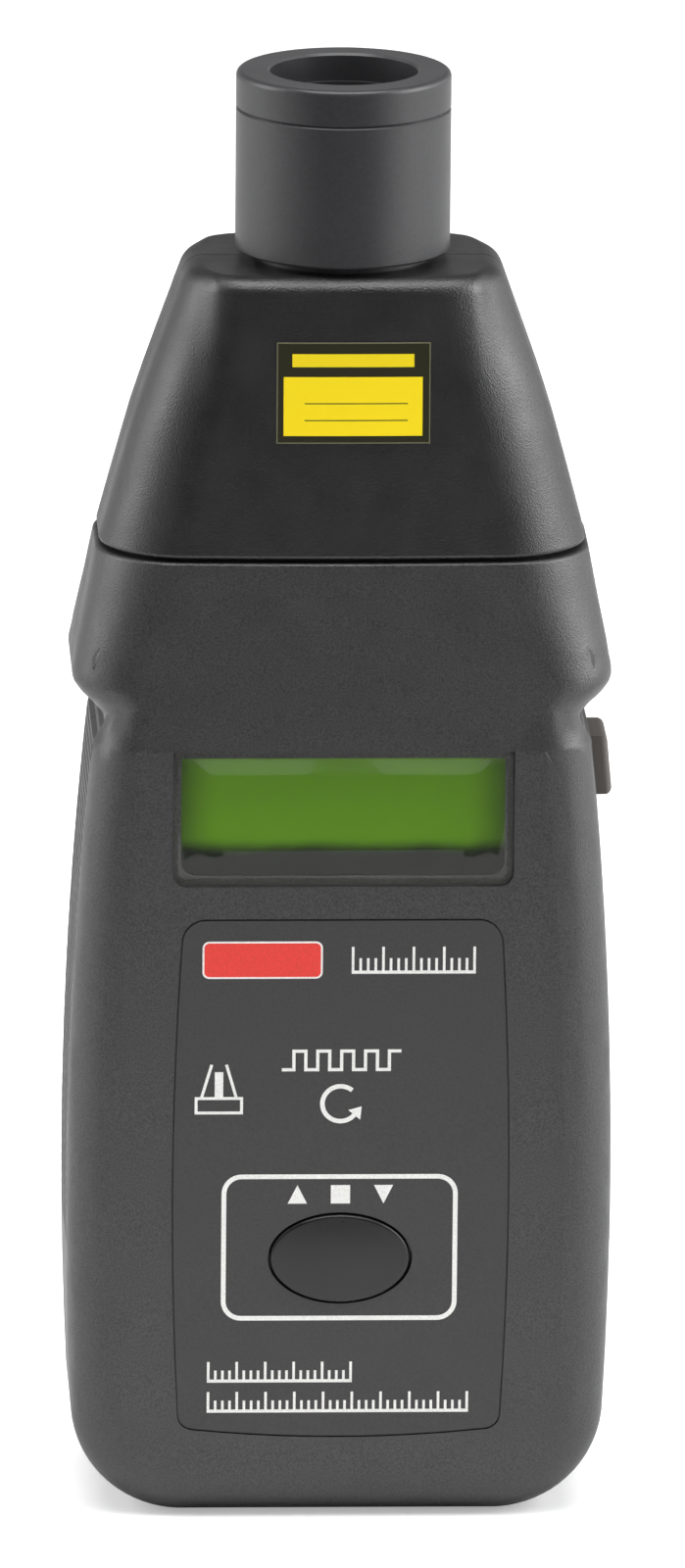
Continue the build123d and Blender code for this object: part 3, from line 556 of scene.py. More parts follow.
def lofted_piece(
    name: str, rings: np.ndarray, looped: bool, material: Material, body: Body
) -> Piece:
    """Make a closed solid from a row of rings, a profile carried along a path.

    Ring i and ring i + 1 are joined by one four-sided face for each side of the profile. A looped
    row also joins its last ring to its first, and an open row is closed by a flat cap at each end.

    Args:
        name: the piece's name.
        rings: points by ring, by place round the ring, by axis, in metres.
        looped: whether the row of rings closes on itself.
        material: what the piece is made of.
        body: the body that it rides on.

    Returns:
        The new object, at the origin.
    """
    count, around = rings.shape[:2]
    row = np.arange(count if looped else count - 1)[:, None]
    place = np.arange(around)[None, :]
    after = (row + 1) % count
    beside = (place + 1) % around
    corners = (
        row * around + place, row * around + beside, after * around + beside, after * around + place
    )
    faces = np.stack(corners, axis=-1).reshape(-1, 4).tolist()
    if not looped:
        faces.append(list(range(around)))
        faces.append(list(range((count - 1) * around, count * around)))
    mesh = bpy.data.meshes.new(name)
    mesh.from_pydata(rings.reshape(-1, 3).tolist(), [], faces)
    shell = bmesh.new()
    shell.from_mesh(mesh)
    bmesh.ops.recalc_face_normals(shell, faces=shell.faces)
    shell.to_mesh(mesh)
    shell.free()
    mesh.materials.append(material)
    piece = add_object(name, mesh)
    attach(piece, body.value)
    LOG.info("%s has %d faces on %s", name, len(mesh.polygons), body.value)
    return piece


def smooth_over(piece: Piece, sharp_deg: float) -> None:
    """Shade a piece smooth, apart from the edges that turn by more than an angle."""
    piece.data.shade_smooth()
    piece.data.set_sharp_from_angle(angle=math.radians(sharp_deg))


def rounded_outline(
    centre_mm: tuple[float, float], size_mm: tuple[float, float], radius_mm: float
) -> np.ndarray:
    """Outline of a rounded rectangle on the front face.

    Four quarter circles of the given radius, each about its own corner centre, joined by the
    straight sides between them.

    Args:
        centre_mm: middle of the rectangle, across and up.
        size_mm: its width and height.
        radius_mm: radius of its corners.

    Returns:
        Points by place round the outline, across and up, in millimetres.
    """
    steps = 9
    turns = np.radians(np.arange(4) * 90.0)[:, None] + np.linspace(0, math.pi / 2, steps)[None, :]
    sign = np.array([(1, 1), (-1, 1), (-1, -1), (1, -1)])[:, None, :]
    corner = sign * (np.array(size_mm) / 2 - radius_mm)
    curve = np.stack([np.cos(turns), np.sin(turns)], axis=-1) * radius_mm
    return (corner + curve + np.array(centre_mm)).reshape(-1, 2)


def arc_path(
    centre_mm: tuple[float, float], radius_mm: float, start_deg: float, end_deg: float
) -> np.ndarray:
    """Points along a circular arc on the front face: the centre plus radius times (cos, sin).

    Args:
        centre_mm: the arc's centre, across and up.
        radius_mm: its radius.
        start_deg: where it starts, from +X towards +Z.
        end_deg: where it ends.

    Returns:
        Points along the arc, across and up, in millimetres.
    """
    turn = np.radians(np.linspace(start_deg, end_deg, 40))
    return np.stack([np.cos(turn), np.sin(turn)], axis=-1) * radius_mm + np.array(centre_mm)


@dataclass(frozen=True)
class Ink:
    """One layer of screen ink on the front label.

    Attributes:
        lift_mm: height of the ink's face over the film.
        sink_mm: depth that its back reaches into the film, so that no gap shows.
    """

    lift_mm: float = 0.025
    sink_mm: float = 0.02


class FrontFace:
    """The outer face of the front label, which bows a little over its height."""

    def __init__(self, node: Piece) -> None:
        """Fit the face's depth over height to the label's own mesh.

        A quadratic through all of the label's points runs between its two faces. A second one
        through the points in front of the first is the outer face.

        Args:
            node: the label's frame node.
        """
        points = read_rows(node.data.vertices, "co")
        depth, height = -points[:, 1], points[:, 2]
        middle = np.polyval(np.polyfit(height, depth, 2), height)
        outer = depth > middle
        self.curve = np.polyfit(height[outer], depth[outer], 2)

    def place(self, flat_mm: np.ndarray, lift_mm: float) -> np.ndarray:
        """Lay a drawing on the face: depth is the fitted curve at each height plus the lift.

        Args:
            flat_mm: points across and up, in millimetres.
            lift_mm: height over the face.

        Returns:
            The points in the frame, in metres.
        """
        across, height = flat_mm[..., 0] * MM, flat_mm[..., 1] * MM
        depth = np.polyval(self.curve, height) + lift_mm * MM
        return np.stack([across, -depth, height], axis=-1)


@dataclass
class FrontPanel:
    """The label and what is printed on it, all of it plain marks.

    Attributes:
        line_mm: width of the frame's line round the memory key.
        fine_line_mm: width of thinner lines.
        scale_line_mm: width of the scales' base lines and of the pulse line.
        ring_line_mm: width of the turn sign's ring.
        tick_mm: width of a tick.
        short_share: height of the short ticks as a share of the tall ones.
        ink: the ink layer.
    """

    line_mm: float = 0.62
    fine_line_mm: float = 0.38
    scale_line_mm: float = 0.42
    ring_line_mm: float = 0.6
    tick_mm: float = 0.34
    short_share: float = 0.55
    ink: Ink = Ink()

    def build(self) -> None:
        """Dress the label and print its marks."""
        dress(["front_label"], LABEL_FILM.material())
        self.face = FrontFace(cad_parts["front_label"])
        self.white = WHITE_INK.material()
        self.red = RED_INK.material()
        self.key_frame()
        self.badge()
        self.beam_sign()
        self.turn_sign()
        self.pulse_line()
        self.step_signs()
        self.scale("upper_scale", (1.2, 17.3), 74.2, 3.4, 17)
        self.scale("heading_scale_short", (-17.2, 1.7), 18.9, 2.6, 21)
        self.scale("heading_scale_long", (-17.2, 16.9), 14.8, 2.6, 37)

    def shape(
        self, name: str, outline_mm: np.ndarray, material: Material, layer: int = 0
    ) -> None:
        """Print a filled shape: its outline carried from the film's inside to the ink's face.

        Args:
            name: the piece's name.
            outline_mm: the outline, across and up.
            material: the ink.
            layer: how many layers of ink lie under it.
        """
        rise = layer * self.ink.lift_mm
        rings = np.stack(
            [
                self.face.place(outline_mm, -self.ink.sink_mm),
                self.face.place(outline_mm, rise + self.ink.lift_mm),
            ]
        )
        lofted_piece(name, rings, False, material, Body.CASE)

    def stroke(self, name: str, path_mm: np.ndarray, width_mm: float, looped: bool) -> None:
        """Print a line: a flat four-cornered profile carried along a path, mitred at its bends.

        At each point the two neighbouring runs' normals are added, and the offset is that sum
        scaled so that both edges of the line stay half a width from the path.

        Args:
            name: the piece's name.
            path_mm: the path, across and up.
            width_mm: width of the line.
            looped: whether the path closes on itself.
        """
        ahead = np.roll(path_mm, -1, axis=0) - path_mm
        behind = path_mm - np.roll(path_mm, 1, axis=0)
        if not looped:
            ahead[-1] = behind[-1]
            behind[0] = ahead[0]
        ahead = ahead / np.linalg.norm(ahead, axis=1, keepdims=True)
        behind = behind / np.linalg.norm(behind, axis=1, keepdims=True)
        left = np.stack([-(ahead + behind)[:, 1], (ahead + behind)[:, 0]], axis=-1)
        span = np.sum(left**2, axis=1, keepdims=True) / 2
        offset = left / span * (width_mm / 2)
        top = self.ink.lift_mm
        rings = np.stack(
            [
                self.face.place(path_mm + offset, top),
                self.face.place(path_mm - offset, top),
                self.face.place(path_mm - offset, -self.ink.sink_mm),
                self.face.place(path_mm + offset, -self.ink.sink_mm),
            ],
            axis=1,
        )
        lofted_piece(name, rings, looped, self.white, Body.CASE)

    def key_frame(self) -> None:
        """Print the rounded frame round the memory key."""
        path = rounded_outline((-0.1, 37.05), (30.1, 19.2), 2.3)
        self.stroke("key_frame", path, self.line_mm, True)

    def badge(self) -> None:
        """Print the plain red bar at the upper left, with a white edge."""
        centre = (-10.35, 75.85)
        self.shape("badge_edge", rounded_outline(centre, (15.6, 5.0), 0.9), self.white)
        self.shape("badge_field", rounded_outline(centre, (15.1, 4.5), 0.65), self.red, 1)

    def beam_sign(self) -> None:
        """Print the sign of a light source: a base, a bar over it and two leaning lines."""
        middle, foot = -15.9, 55.1
        base = np.array([(-2.95, 0.2), (2.95, 0.2), (2.95, 2.15), (-2.95, 2.15)])
        origin = np.array([middle, foot])
        self.stroke("beam_base", base + origin, self.fine_line_mm, True)
        bar = np.array([(-0.55, 2.0), (0.55, 2.0), (0.55, 5.7), (-0.55, 5.7)])
        self.shape("beam_bar", bar + origin, self.white)
        for side, name in ((-1, "beam_line_left"), (1, "beam_line_right")):
            line = np.array([(side * 2.3, 2.1), (side * 0.95, 6.7)])
            self.stroke(name, line + origin, self.fine_line_mm, False)

    def turn_sign(self) -> None:
        """Print the sign of rotation: an open ring with an arrow head at one end."""
        centre = (-0.1, 56.5)
        radius, end = 2.35, 320.0
        self.stroke("turn_ring", arc_path(centre, radius, 50.0, end), self.ring_line_mm, False)
        at = math.radians(end)
        tip = np.array(centre) + radius * np.array([math.cos(at), math.sin(at)])
        along = np.array([-math.sin(at), math.cos(at)])
        out = np.array([math.cos(at), math.sin(at)])
        head = np.array([tip + 1.5 * along, tip - out, tip + out])
        self.shape("turn_arrow", head, self.white)

    def pulse_line(self) -> None:
        """Print a square pulse line, the signal that a light sensor gives."""
        pitch, low, high = 3.1, 61.1, 63.6
        steps = 5
        start = -0.5 * pitch * steps
        edges = start + pitch / 2 * np.repeat(np.arange(2 * steps + 1), 2)[1:-1]
        levels = np.tile([low, low, high, high], steps)[: len(edges)]
        path = np.stack([edges, levels], axis=-1)
        self.stroke("pulse_line", path, self.scale_line_mm, False)

    def step_signs(self) -> None:
        """Print the three plain signs over the memory key: up, stop and down."""
        size, height = 1.25, 44.25
        up = np.array([(-size, -size), (size, -size), (0, size)])
        square = np.array([(-size, -size), (size, -size), (size, size), (-size, size)])
        signs = (("step_up", up, -5.6), ("step_stop", square, 0.0), ("step_down", -up, 5.6))
        for name, outline, across in signs:
            self.shape(name, outline + np.array([across, height]), self.white)

    def scale(
        self, name: str, ends_mm: tuple[float, float], foot_mm: float, tall_mm: float, ticks: int
    ) -> None:
        """Print a graduated scale: a base line with upright ticks, every fourth one taller.

        Args:
            name: start of the pieces' names.
            ends_mm: left and right end of the scale.
            foot_mm: height of the base line.
            tall_mm: height of the tall ticks.
            ticks: how many ticks there are.
        """
        base = np.array([(ends_mm[0], foot_mm), (ends_mm[1], foot_mm)])
        self.stroke(f"{name}_base", base, self.scale_line_mm, False)
        half = self.tick_mm / 2
        for number, across in enumerate(np.linspace(ends_mm[0] + half, ends_mm[1] - half, ticks)):
            rise = tall_mm if number % 4 == 0 else self.short_share * tall_mm
            tick = np.array([(-half, 0), (half, 0), (half, rise), (-half, rise)])
            place = np.array([across, foot_mm])
            self.shape(f"{name}_tick_{number:02d}", tick + place, self.white)


@dataclass(frozen=True)
class Correction:
    """How a shell's outer form departs from its solid, as a move of its points.

    Attributes:
        heights_mm: heights at which the move is given.
        inward_mm: move of the side walls towards the middle at each height.
        start_mm: distance from the middle at which points begin to move.
        full_mm: distance from which they move in full.
        rise_from_mm: height from which the upper rim is stretched upwards.
        rise_to_mm: height of the rim.
        rise_mm: how far the rim moves up.
    """

    heights_mm: tuple[float, ...]
    inward_mm: tuple[float, ...]
    start_mm: float
    full_mm: float
    rise_from_mm: float = 0.0
    rise_to_mm: float = 1.0
    rise_mm: float = 0.0

    def moved(self, points_mm: np.ndarray) -> np.ndarray:
        """Move points: inwards by the table over height, and up by a smooth step near the rim.

        The inward move is the table's value at the point's height, times a smooth step of the
        distance from the middle between start and full.

        Args:
            points_mm: points by row.

        Returns:
            The moved points.
        """
        across, height = points_mm[:, 0], points_mm[:, 2]
        share = np.clip((np.abs(across) - self.start_mm) / (self.full_mm - self.start_mm), 0, 1)
        inward = np.interp(height, self.heights_mm, self.inward_mm) * share**2 * (3 - 2 * share)
        rise = np.clip((height - self.rise_from_mm) / (self.rise_to_mm - self.rise_from_mm), 0, 1)
        up = self.rise_mm * rise**2 * (3 - 2 * rise)
        return points_mm + np.stack([-np.sign(across) * inward, np.zeros_like(across), up], axis=-1)


@dataclass(frozen=True)
class Pillars:
    """Screw pillars inside a shell whose far ends would show through its skin.

    Attributes:
        across_mm: distance of their axes from the middle.
        height_mm: height of their axes.
        radius_mm: their radius.
        end_mm: depth that they end at in the front half.
        inner_mm: depth under which nothing of them is looked at.
        skin_mm: depth that the skin over them has at least.
        near_mm: how far a point may be from their round or from their end to count as on it.
        around_deg: turn within which the skin is the deepest of what the round meets.
        wall_mm: half the wall's thickness, which tells the skin from the wall's inner side.
        reach_deg: how near two points of the skin have to be on both sides of a place.
    """

    across_mm: float = 29.6
    height_mm: float = 114.5
    radius_mm: float = 2.9
    end_mm: float = 14.2
    inner_mm: float = 8.0
    skin_mm: float = 13.5
    near_mm: float = 0.004
    around_deg: float = 14.0
    wall_mm: float = 1.0
    reach_deg: float = 16.0

    def near(self, points_mm: np.ndarray) -> np.ndarray:
        """Say which points lie on the skin over a pillar: within its round and deep enough."""
        off = np.hypot(np.abs(points_mm[:, 0]) - self.across_mm, points_mm[:, 2] - self.height_mm)
        return (off < self.radius_mm + 0.01) & (np.abs(points_mm[:, 1]) > self.skin_mm - 0.1)

    def drawn_back(self, points_mm: np.ndarray) -> np.ndarray:
        """Draw the far ends back to the skin, one pillar after the other.

        The points on a pillar's round that are less deep than its end, and as deep as any other
        within a small turn, lie on the skin. A point of the end's edge takes the depth between its
        two neighbours among them.

        Args:
            points_mm: points by row.

        Returns:
            The moved points.
        """
        points = points_mm.copy()
        for side in (-1, 1):
            across = points[:, 0] * side - self.across_mm
            height = points[:, 2] - self.height_mm
            depth = np.abs(points[:, 1])
            off = np.hypot(across, height)
            turn = np.degrees(np.arctan2(height, across))
            on_round = np.abs(off - self.radius_mm) < self.near_mm
            ring = np.flatnonzero(on_round & (depth > self.inner_mm))
            short = self.end_mm - depth[ring]
            edge, below = ring[np.abs(short) < self.near_mm], ring[short > self.near_mm]
            gap = np.abs((turn[below][:, None] - turn[below] + 180) % 360 - 180)
            around = np.where(gap < self.around_deg, depth[below], 0).max(axis=1)
            skin = below[depth[below] > np.maximum(around - self.wall_mm, self.skin_mm)]
            skin = skin[np.argsort(turn[skin])]
            turns = (turn[skin] + np.array([[-360], [0], [360]])).ravel()
            after = np.searchsorted(turns, turn[edge])
            gaps = np.stack([turn[edge] - turns[after - 1], turns[after] - turn[edge]])
            held = edge[gaps.max(axis=0) < self.reach_deg]
            level = np.interp(turn[held], turns, np.tile(depth[skin], 3))
            points[held, 1] = np.sign(points[held, 1]) * level
        return points


def turned_normals(correction: Correction, points_mm: np.ndarray, normals: np.ndarray) -> np.ndarray:
    """Turn normals as a correction turns the surface: by the inverse transpose of its slopes.

    Args:
        correction: the move.
        points_mm: where the normals stand, by row.
        normals: the normals, by row.

    Returns:
        The turned normals, of length one.
    """
    step = 0.01
    slopes = [
        (correction.moved(points_mm + axis) - correction.moved(points_mm - axis)) / (2 * step)
        for axis in np.eye(3) * step
    ]
    inverse = np.linalg.inv(np.stack(slopes, axis=-1))
    turned = np.einsum("nji,nj->ni", inverse, normals)
    return turned / np.linalg.norm(turned, axis=1, keepdims=True)


def corrected_copy(
    node: str, correction: Correction, material: Material, pillars: Pillars | None = None
) -> None:
    """Put a merged and corrected copy of a shell in the place of its frame node.

    The solid's own normals are carried through the merge and turned with the correction, apart
    from those over the pillars, where the new facets are shaded smooth by themselves.

    Args:
        node: the shell's frame node.
        correction: how the points move.
        material: what the shell is made of.
        pillars: the pillars whose far ends are drawn back, if it has any.
    """
    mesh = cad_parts[node].data.copy()
    corner = np.empty(len(mesh.loops), dtype=np.int32)
    mesh.loops.foreach_get("vertex_index", corner)
    normals = read_rows(mesh.corner_normals, "vector")
    points = read_rows(mesh.vertices, "co") / MM
    if pillars:
        points = pillars.drawn_back(points)
    normals = turned_normals(correction, points[corner], normals)
    if pillars:
        normals[pillars.near(points)[corner]] = 0
    kept = mesh.attributes.new("kept_normal", "FLOAT_VECTOR", "CORNER")
    kept.data.foreach_set("vector", normals.ravel())
    mesh.vertices.foreach_set("co", (correction.moved(points) * MM).ravel())
    shell = bmesh.new()
    shell.from_mesh(mesh)
    bmesh.ops.remove_doubles(shell, verts=shell.verts, dist=0.001 * MM)
    shell.to_mesh(mesh)
    shell.free()
    mesh.materials.clear()
    mesh.materials.append(material)
    mesh.shade_smooth()
    mesh.normals_split_custom_set(read_rows(mesh.attributes["kept_normal"].data, "vector").tolist())
    mesh.attributes.remove(mesh.attributes["kept_normal"])
    piece = add_object(f"{node}_corrected", mesh)
    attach(piece, Body.CASE.value)
    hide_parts(node)
    LOG.info("%s is a corrected copy with %d faces", node, len(mesh.polygons))


# The flare turns in sooner than the solid's, and the shoulder's rim comes closer to the nose.
BODY_CORRECTION = Correction(
    heights_mm=(103.6, 104.2, 106.1, 108.0, 109.7, 111.3),
    inward_mm=(0.0, 0.3, 1.15, 1.22, 0.41, 0.0),
    start_mm=26.0,
    full_mm=30.0,
    rise_from_mm=122.0,
    rise_to_mm=127.7,
    rise_mm=0.7,
)
# The nose is drawn in a little towards its upper end.
NOSE_CORRECTION = Correction(
    heights_mm=(145.0, 150.0, 155.0, 160.0, 162.8, 165.5),
    inward_mm=(0.0, 0.2, 0.5, 0.8, 0.9, 1.2),
    start_mm=16.0,
    full_mm=20.0,
)


@dataclass
class Casing:
    """The moulded shells of the handle and the nose, with the sticker."""

    def build(self) -> None:
        """Make the corrected shells, and dress the battery cover and the sticker."""
        case, nose = CASE_ABS.material(), NOSE_ABS.material()
        corrected_copy("front_shell", BODY_CORRECTION, case, pillars=Pillars())
        corrected_copy("rear_shell", BODY_CORRECTION, case)
        for node in ("nose_front_shell", "nose_rear_shell"):
            corrected_copy(node, NOSE_CORRECTION, nose)
        dress(["battery_cover"], case)
        dress(["nose_sticker"], STICKER_FILM.material())


@dataclass
class Display:
    """The window and the display behind it.

    Attributes:
        edge_radius_mm: radius of the round that the window's face falls away in.
        edge_turn_deg: how far that round turns before it meets the window's side.
        corner_mm: corner radius of the window's outline.
        flat_corner_mm: corner radius of the flat part of its face.
        crown_mm: radius of the crown that the whole face has across its width.
    """

    edge_radius_mm: float = 12.0
    edge_turn_deg: float = 20.0
    corner_mm: float = 1.3
    flat_corner_mm: float = 2.4
    crown_mm: float = 330.0

    def window(self) -> None:
        """Make the window: a pane whose face is flat and rolls off in a round along its edges.

        The rings follow the outline, drawn in by radius times (sin end - sin turn) and sunk by
        radius times (1 - cos turn), from the side of the pane to the flat of its face. The face is
        also sunk by the distance from the middle squared over twice the crown's radius.
        """
        low, high = (np.array(corner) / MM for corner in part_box("display_window"))
        centre = ((low[0] + high[0]) / 2, (low[2] + high[2]) / 2)
        size = np.array([high[0] - low[0], high[2] - low[2]])
        end = math.radians(self.edge_turn_deg)
        turns = np.concatenate([[end, end], np.linspace(end, 0.0, 12)])
        drawn_in = self.edge_radius_mm * (math.sin(end) - np.sin(turns))
        sunk = self.edge_radius_mm * (1 - np.cos(turns))
        share = drawn_in / drawn_in[-1]
        corners = self.corner_mm + (self.flat_corner_mm - self.corner_mm) * share
        outlines = np.stack(
            [
                rounded_outline(centre, tuple(size - 2 * inside), corner)
                for inside, corner in zip(drawn_in, corners)
            ]
        )
        rings = np.empty((*outlines.shape[:2], 3))
        rings[..., 0], rings[..., 2] = outlines[..., 0], outlines[..., 1]
        rings[..., 1] = low[1] + sunk[:, None] + outlines[..., 0] ** 2 / (2 * self.crown_mm)
        rings[0, :, 1] = high[1]
        middle = rings[-1] * (1, 0, 0) + np.array((0, low[1], centre[1]))
        middle[:, 1] += middle[:, 0] ** 2 / (2 * self.crown_mm)
        rings = np.concatenate([rings, middle[None]])
        acrylic = ACRYLIC.material()
        pane = lofted_piece("window_pane", rings * MM, False, acrylic, Body.CASE)
        smooth_over(pane, 30.0)
        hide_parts("display_window")

    def build(self) -> None:
        """Make the window, and dress the display glass."""
        self.window()
        dress(["lcd_glass"], DISPLAY_GLASS.material())


@dataclass(frozen=True)
class Dressing:
    """Frame nodes that keep their own form and share one finish."""

    nodes: tuple[str, ...]
    finish: MouldedPlastic | Metal | ClearPane

    def build(self) -> None:
        """Dress the nodes."""
        dress(list(self.nodes), self.finish.material())


DRESSINGS = (
    Dressing(("body_screws", "nose_screws", "board_screws"), NICKEL_STEEL),
    # The collar with its aperture ring, and the optics behind it.
    Dressing(("collar_tube", "aperture_ring"), COLLAR_ABS),
    Dressing(("condenser_lens",), LENS_GLASS),
    Dressing(("optics_block", "lens_retainer"), FRAME_NYLON),
    Dressing(("laser_module",), TURNED_BRASS),
    Dressing(("photo_sensor", "main_chip"), CHIP_EPOXY),
    Dressing(("sensor_board", "main_board"), SOLDER_RESIST),
    # The two keys, and what they press on.
    Dressing(("memory_button",), KEY_ABS),
    Dressing(("measure_button",), SIDE_KEY_ABS),
    Dressing(("memory_plunger", "measure_plunger", "memory_switch", "measure_switch"), FRAME_NYLON),
    # The parts on the main board, and the battery bay.
    Dressing(("capacitors", "lcd_frame"), FRAME_NYLON),
    Dressing(("zebra_strips",), STRIP_SILICONE),
    Dressing(("crystal", "contact_plates", "leaf_springs"), NICKEL_STEEL),
    Dressing(("battery_1", "battery_2", "battery_3", "battery_4"), CELL_CAN),
    Dressing(("battery_leads",), LEAD_PVC),
)


@dataclass(frozen=True)
class Viewpoint:
    """Where the picture was taken from.

    Attributes:
        target_mm: a point on the middle line of the object.
        target_px: where that point lies in the picture.
        distance_mm: distance from the camera to that point.
        elevation_deg: angle of the camera above the horizontal.
        yaw_deg: angle of the camera towards -X.
        roll_deg: lean of the picture, the top to the right.
        scale_px_per_mm: scale of the picture at that point.
        picture_px: width and height of the picture.
        sensor_mm: length of the sensor's long side.
    """

    target_mm: tuple[float, float, float] = (0.0, 0.0, 95.0)
    target_px: tuple[float, float] = (344.9, 798.4)
    distance_mm: float = 2500.0
    elevation_deg: float = 14.4
    yaw_deg: float = 2.5
    roll_deg: float = 0.48
    scale_px_per_mm: float = 7.838
    picture_px: tuple[int, int] = (699, 1600)
    sensor_mm: float = 36.0

    def build(self) -> None:
        """Make the camera.

        The camera stands on the line from the target that the two angles give. It aims beside
        the target by as much as the target lies off the middle of the picture.
        """
        rise, yaw, roll = map(math.radians, (self.elevation_deg, self.yaw_deg, self.roll_deg))
        back = Vector(
            (-math.sin(yaw) * math.cos(rise), -math.cos(yaw) * math.cos(rise), math.sin(rise))
        )
        right = Vector((math.cos(yaw), -math.sin(yaw), 0.0))
        up = back.cross(right)
        off_right = (self.picture_px[0] / 2 - self.target_px[0]) / self.scale_px_per_mm * MM
        off_down = (self.picture_px[1] / 2 - self.target_px[1]) / self.scale_px_per_mm * MM
        aim = Vector(self.target_mm) * MM + right * off_right - up * off_down
        leaning_right = right * math.cos(roll) + up * math.sin(roll)
        leaning_up = up * math.cos(roll) - right * math.sin(roll)
        data = bpy.data.cameras.new("view")
        data.sensor_width = self.sensor_mm
        focal_px = self.scale_px_per_mm * self.distance_mm
        data.lens = focal_px * self.sensor_mm / self.picture_px[1]
        data.clip_end = 100.0
        camera = add_object("view", data)
        turn = Matrix((leaning_right, leaning_up, back)).transposed()
        camera.matrix_world = Matrix.Translation(aim + back * self.distance_mm * MM) @ turn.to_4x4()
        bpy.context.scene.camera = camera
        LOG.info("camera %.0f mm lens", data.lens)


@dataclass(frozen=True)
class Softbox:
    """A large diffused lamp aimed at the middle of the object.

    Attributes:
        name: its name.
        place_m: where it stands.
        size_m: width and height of its face.
        power_w: its power.
    """

    name: str
    place_m: tuple[float, float, float]
    size_m: tuple[float, float]
    power_w: float

    def build(self) -> None:
        """Make the lamp."""
        data = bpy.data.lights.new(self.name, "AREA")
        data.shape = "RECTANGLE"
        data.size, data.size_y = self.size_m
        data.energy = self.power_w
        lamp = add_object(self.name, data)
        place = Vector(self.place_m)
        middle = Vector((0.0, 0.0, 0.095))
        turn = (place - middle).to_track_quat("Z", "Y").to_matrix().to_4x4()
        lamp.matrix_world = Matrix.Translation(place) @ turn


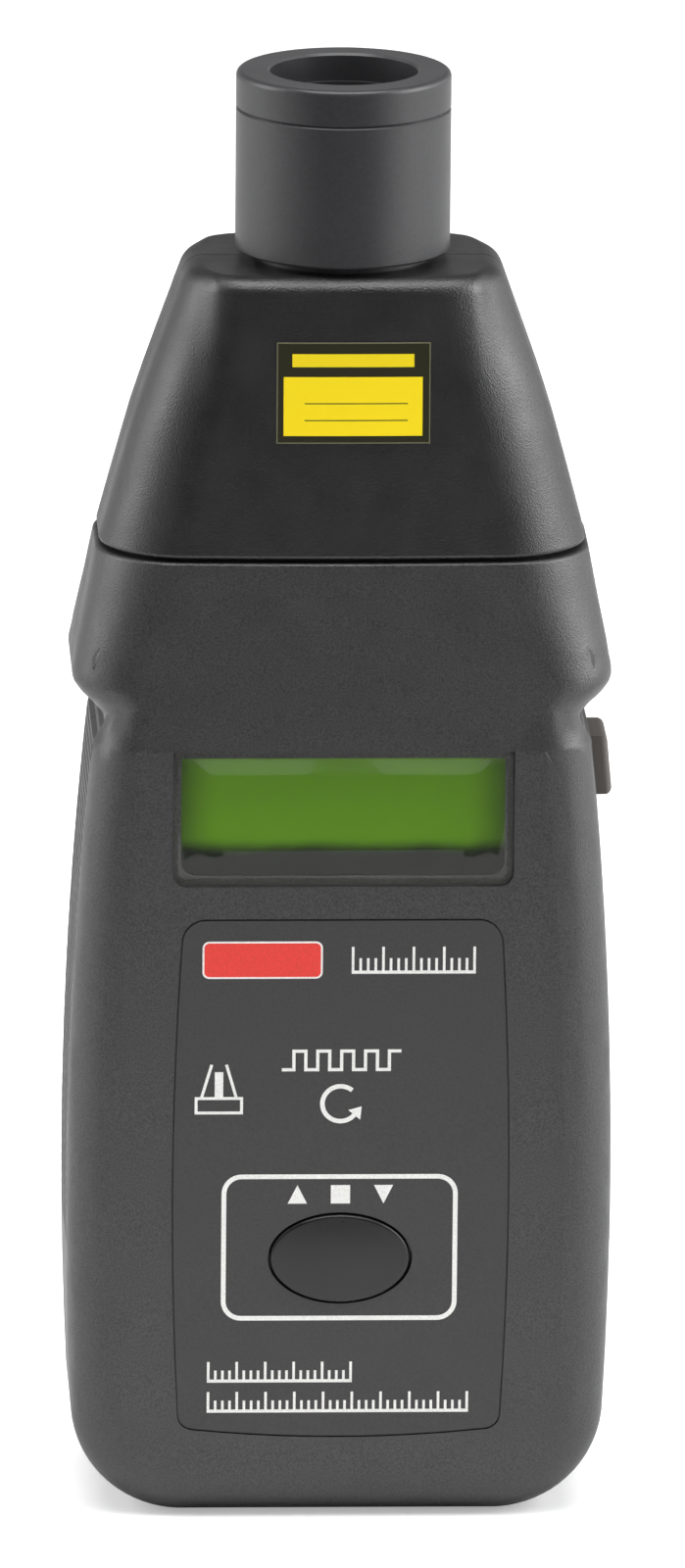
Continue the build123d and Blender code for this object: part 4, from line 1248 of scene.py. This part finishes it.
@dataclass
class Studio:
    """A pale floor under plain soft light, with a white surround behind and a dim one in front.

    Attributes:
        floor_reach_m: how far the floor reaches behind and to both sides.
        floor_front_m: how far it reaches in front.
        right_wall: strength of the bright wall that reflections show on the right.
        left_wall: strength of the one on the left.
        wall_ends: sideways part of a direction at which a wall starts and is full.
        behind_ends: backward part of a direction at which the white behind starts and is full.
        front_level: how bright the surround is in front, in reflections.
        rise_ends: upward part of a direction at which the white starts to dim and has dimmed.
        upper_level: how bright it is above that.
        fill_level: the even grey that lights everything else.
        lamps: the lamps.
    """

    floor_reach_m: float = 6.0
    right_wall: float = 2.6
    left_wall: float = 0.8
    wall_ends: tuple[float, float] = (0.45, 1.0)
    behind_ends: tuple[float, float] = (-0.55, 0.25)
    front_level: float = 0.04
    rise_ends: tuple[float, float] = (0.0, 0.22)
    upper_level: float = 0.3
    fill_level: float = 0.4
    floor_front_m: float = 0.3
    lamps: tuple[Softbox, ...] = (
        Softbox("softbox_left", (-1.1, 0.15, 0.6), (0.7, 1.0), 8.0),
        Softbox("softbox_right", (1.1, -0.15, 0.65), (0.8, 1.0), 12.0),
        Softbox("softbox_top", (0.0, -0.25, 1.5), (1.4, 1.0), 22.0),
        Softbox("strip_left", (-0.1, -3.0, 0.55), (0.35, 0.95), 1.2),
        Softbox("strip_right", (0.36, -3.0, 0.55), (0.35, 0.95), 1.2),
    )

    def build(self) -> None:
        """Make the floor, the lamps and the surround."""
        self.floor()
        for lamp in self.lamps:
            lamp.build()
        self.surround()

    def floor(self) -> None:
        """Make the floor: a pale sheet that shows white and keeps the object's shadow."""
        reach, front = self.floor_reach_m, self.floor_front_m
        mesh = bpy.data.meshes.new("floor")
        corners = [(-reach, -front, 0), (reach, -front, 0), (reach, reach, 0), (-reach, reach, 0)]
        mesh.from_pydata(corners, [], [(0, 1, 2, 3)])
        material = empty_material("pale_paper_floor")
        tree = material.node_tree
        path = add_node(tree, "ShaderNodeLightPath", {})
        paper = add_node(tree, "ShaderNodeBsdfDiffuse", {"Color": linear("#f2f2f2")})
        lift = add_node(
            tree, "ShaderNodeMath", {0: path.outputs["Is Camera Ray"], 1: 0.35}, operation="MULTIPLY"
        )
        glow = add_node(tree, "ShaderNodeEmission", {"Strength": lift.outputs[0]})
        both = add_node(tree, "ShaderNodeAddShader", {0: paper.outputs[0], 1: glow.outputs[0]})
        close_with(tree, both.outputs[0])
        mesh.materials.append(material)
        add_object("floor", mesh)

    def surround(self) -> None:
        """Make the world: white to the camera and through clear parts, a studio in reflections.

        In a reflection the surround is white low down beside and behind the object, where the
        table runs on, grey higher up, and dim in front. Everything else is lit by an even grey.
        """
        world = bpy.data.worlds.new("surround")
        bpy.context.scene.world = world
        world.use_nodes = True
        tree = world.node_tree
        tree.nodes.clear()
        path = add_node(tree, "ShaderNodeLightPath", {})
        direction = add_node(tree, "ShaderNodeTexCoord", {}).outputs["Generated"]
        axes = add_node(tree, "ShaderNodeSeparateXYZ", {0: direction})
        smooth = "SMOOTHSTEP"
        behind = ramp(tree, axes.outputs["Y"], self.behind_ends, (self.front_level, 1.0), smooth)
        upper = ramp(tree, axes.outputs["Z"], self.rise_ends, (1.0, self.upper_level), smooth)
        studio = add_node(tree, "ShaderNodeMath", {0: behind, 1: upper}, operation="MULTIPLY")
        for turn, strength in ((1.0, self.right_wall), (-1.0, self.left_wall)):
            ends = (self.wall_ends[0] * turn, self.wall_ends[1] * turn)
            beside = ramp(tree, axes.outputs["X"], ends, (0.0, strength), smooth)
            studio = add_node(tree, "ShaderNodeMath", {0: studio.outputs[0], 1: beside})
        mirrored = add_node(
            tree, "ShaderNodeMix",
            {0: path.outputs["Is Glossy Ray"], 2: self.fill_level, 3: studio.outputs[0]},
        )
        seen = add_node(
            tree, "ShaderNodeMath",
            {0: path.outputs["Is Camera Ray"], 1: path.outputs["Is Transmission Ray"]},
            operation="MAXIMUM",
        )
        strength = add_node(
            tree, "ShaderNodeMix", {0: seen.outputs[0], 2: mirrored.outputs[0], 3: 1.0}
        )
        light = add_node(tree, "ShaderNodeBackground", {"Strength": strength.outputs[0]})
        add_node(tree, "ShaderNodeOutputWorld", {"Surface": light.outputs[0]})


def main() -> None:
    """Build every sub-assembly, the camera and the studio."""
    logging.basicConfig(level=logging.INFO, format="%(name)s %(message)s")
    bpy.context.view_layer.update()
    bpy.context.scene.view_settings.view_transform = "Standard"
    for part in (Casing(), Display(), FrontPanel(), *DRESSINGS, Viewpoint(), Studio()):
        LOG.info("building %s", type(part).__name__)
        part.build()


if __name__ == "__main__":
    main()
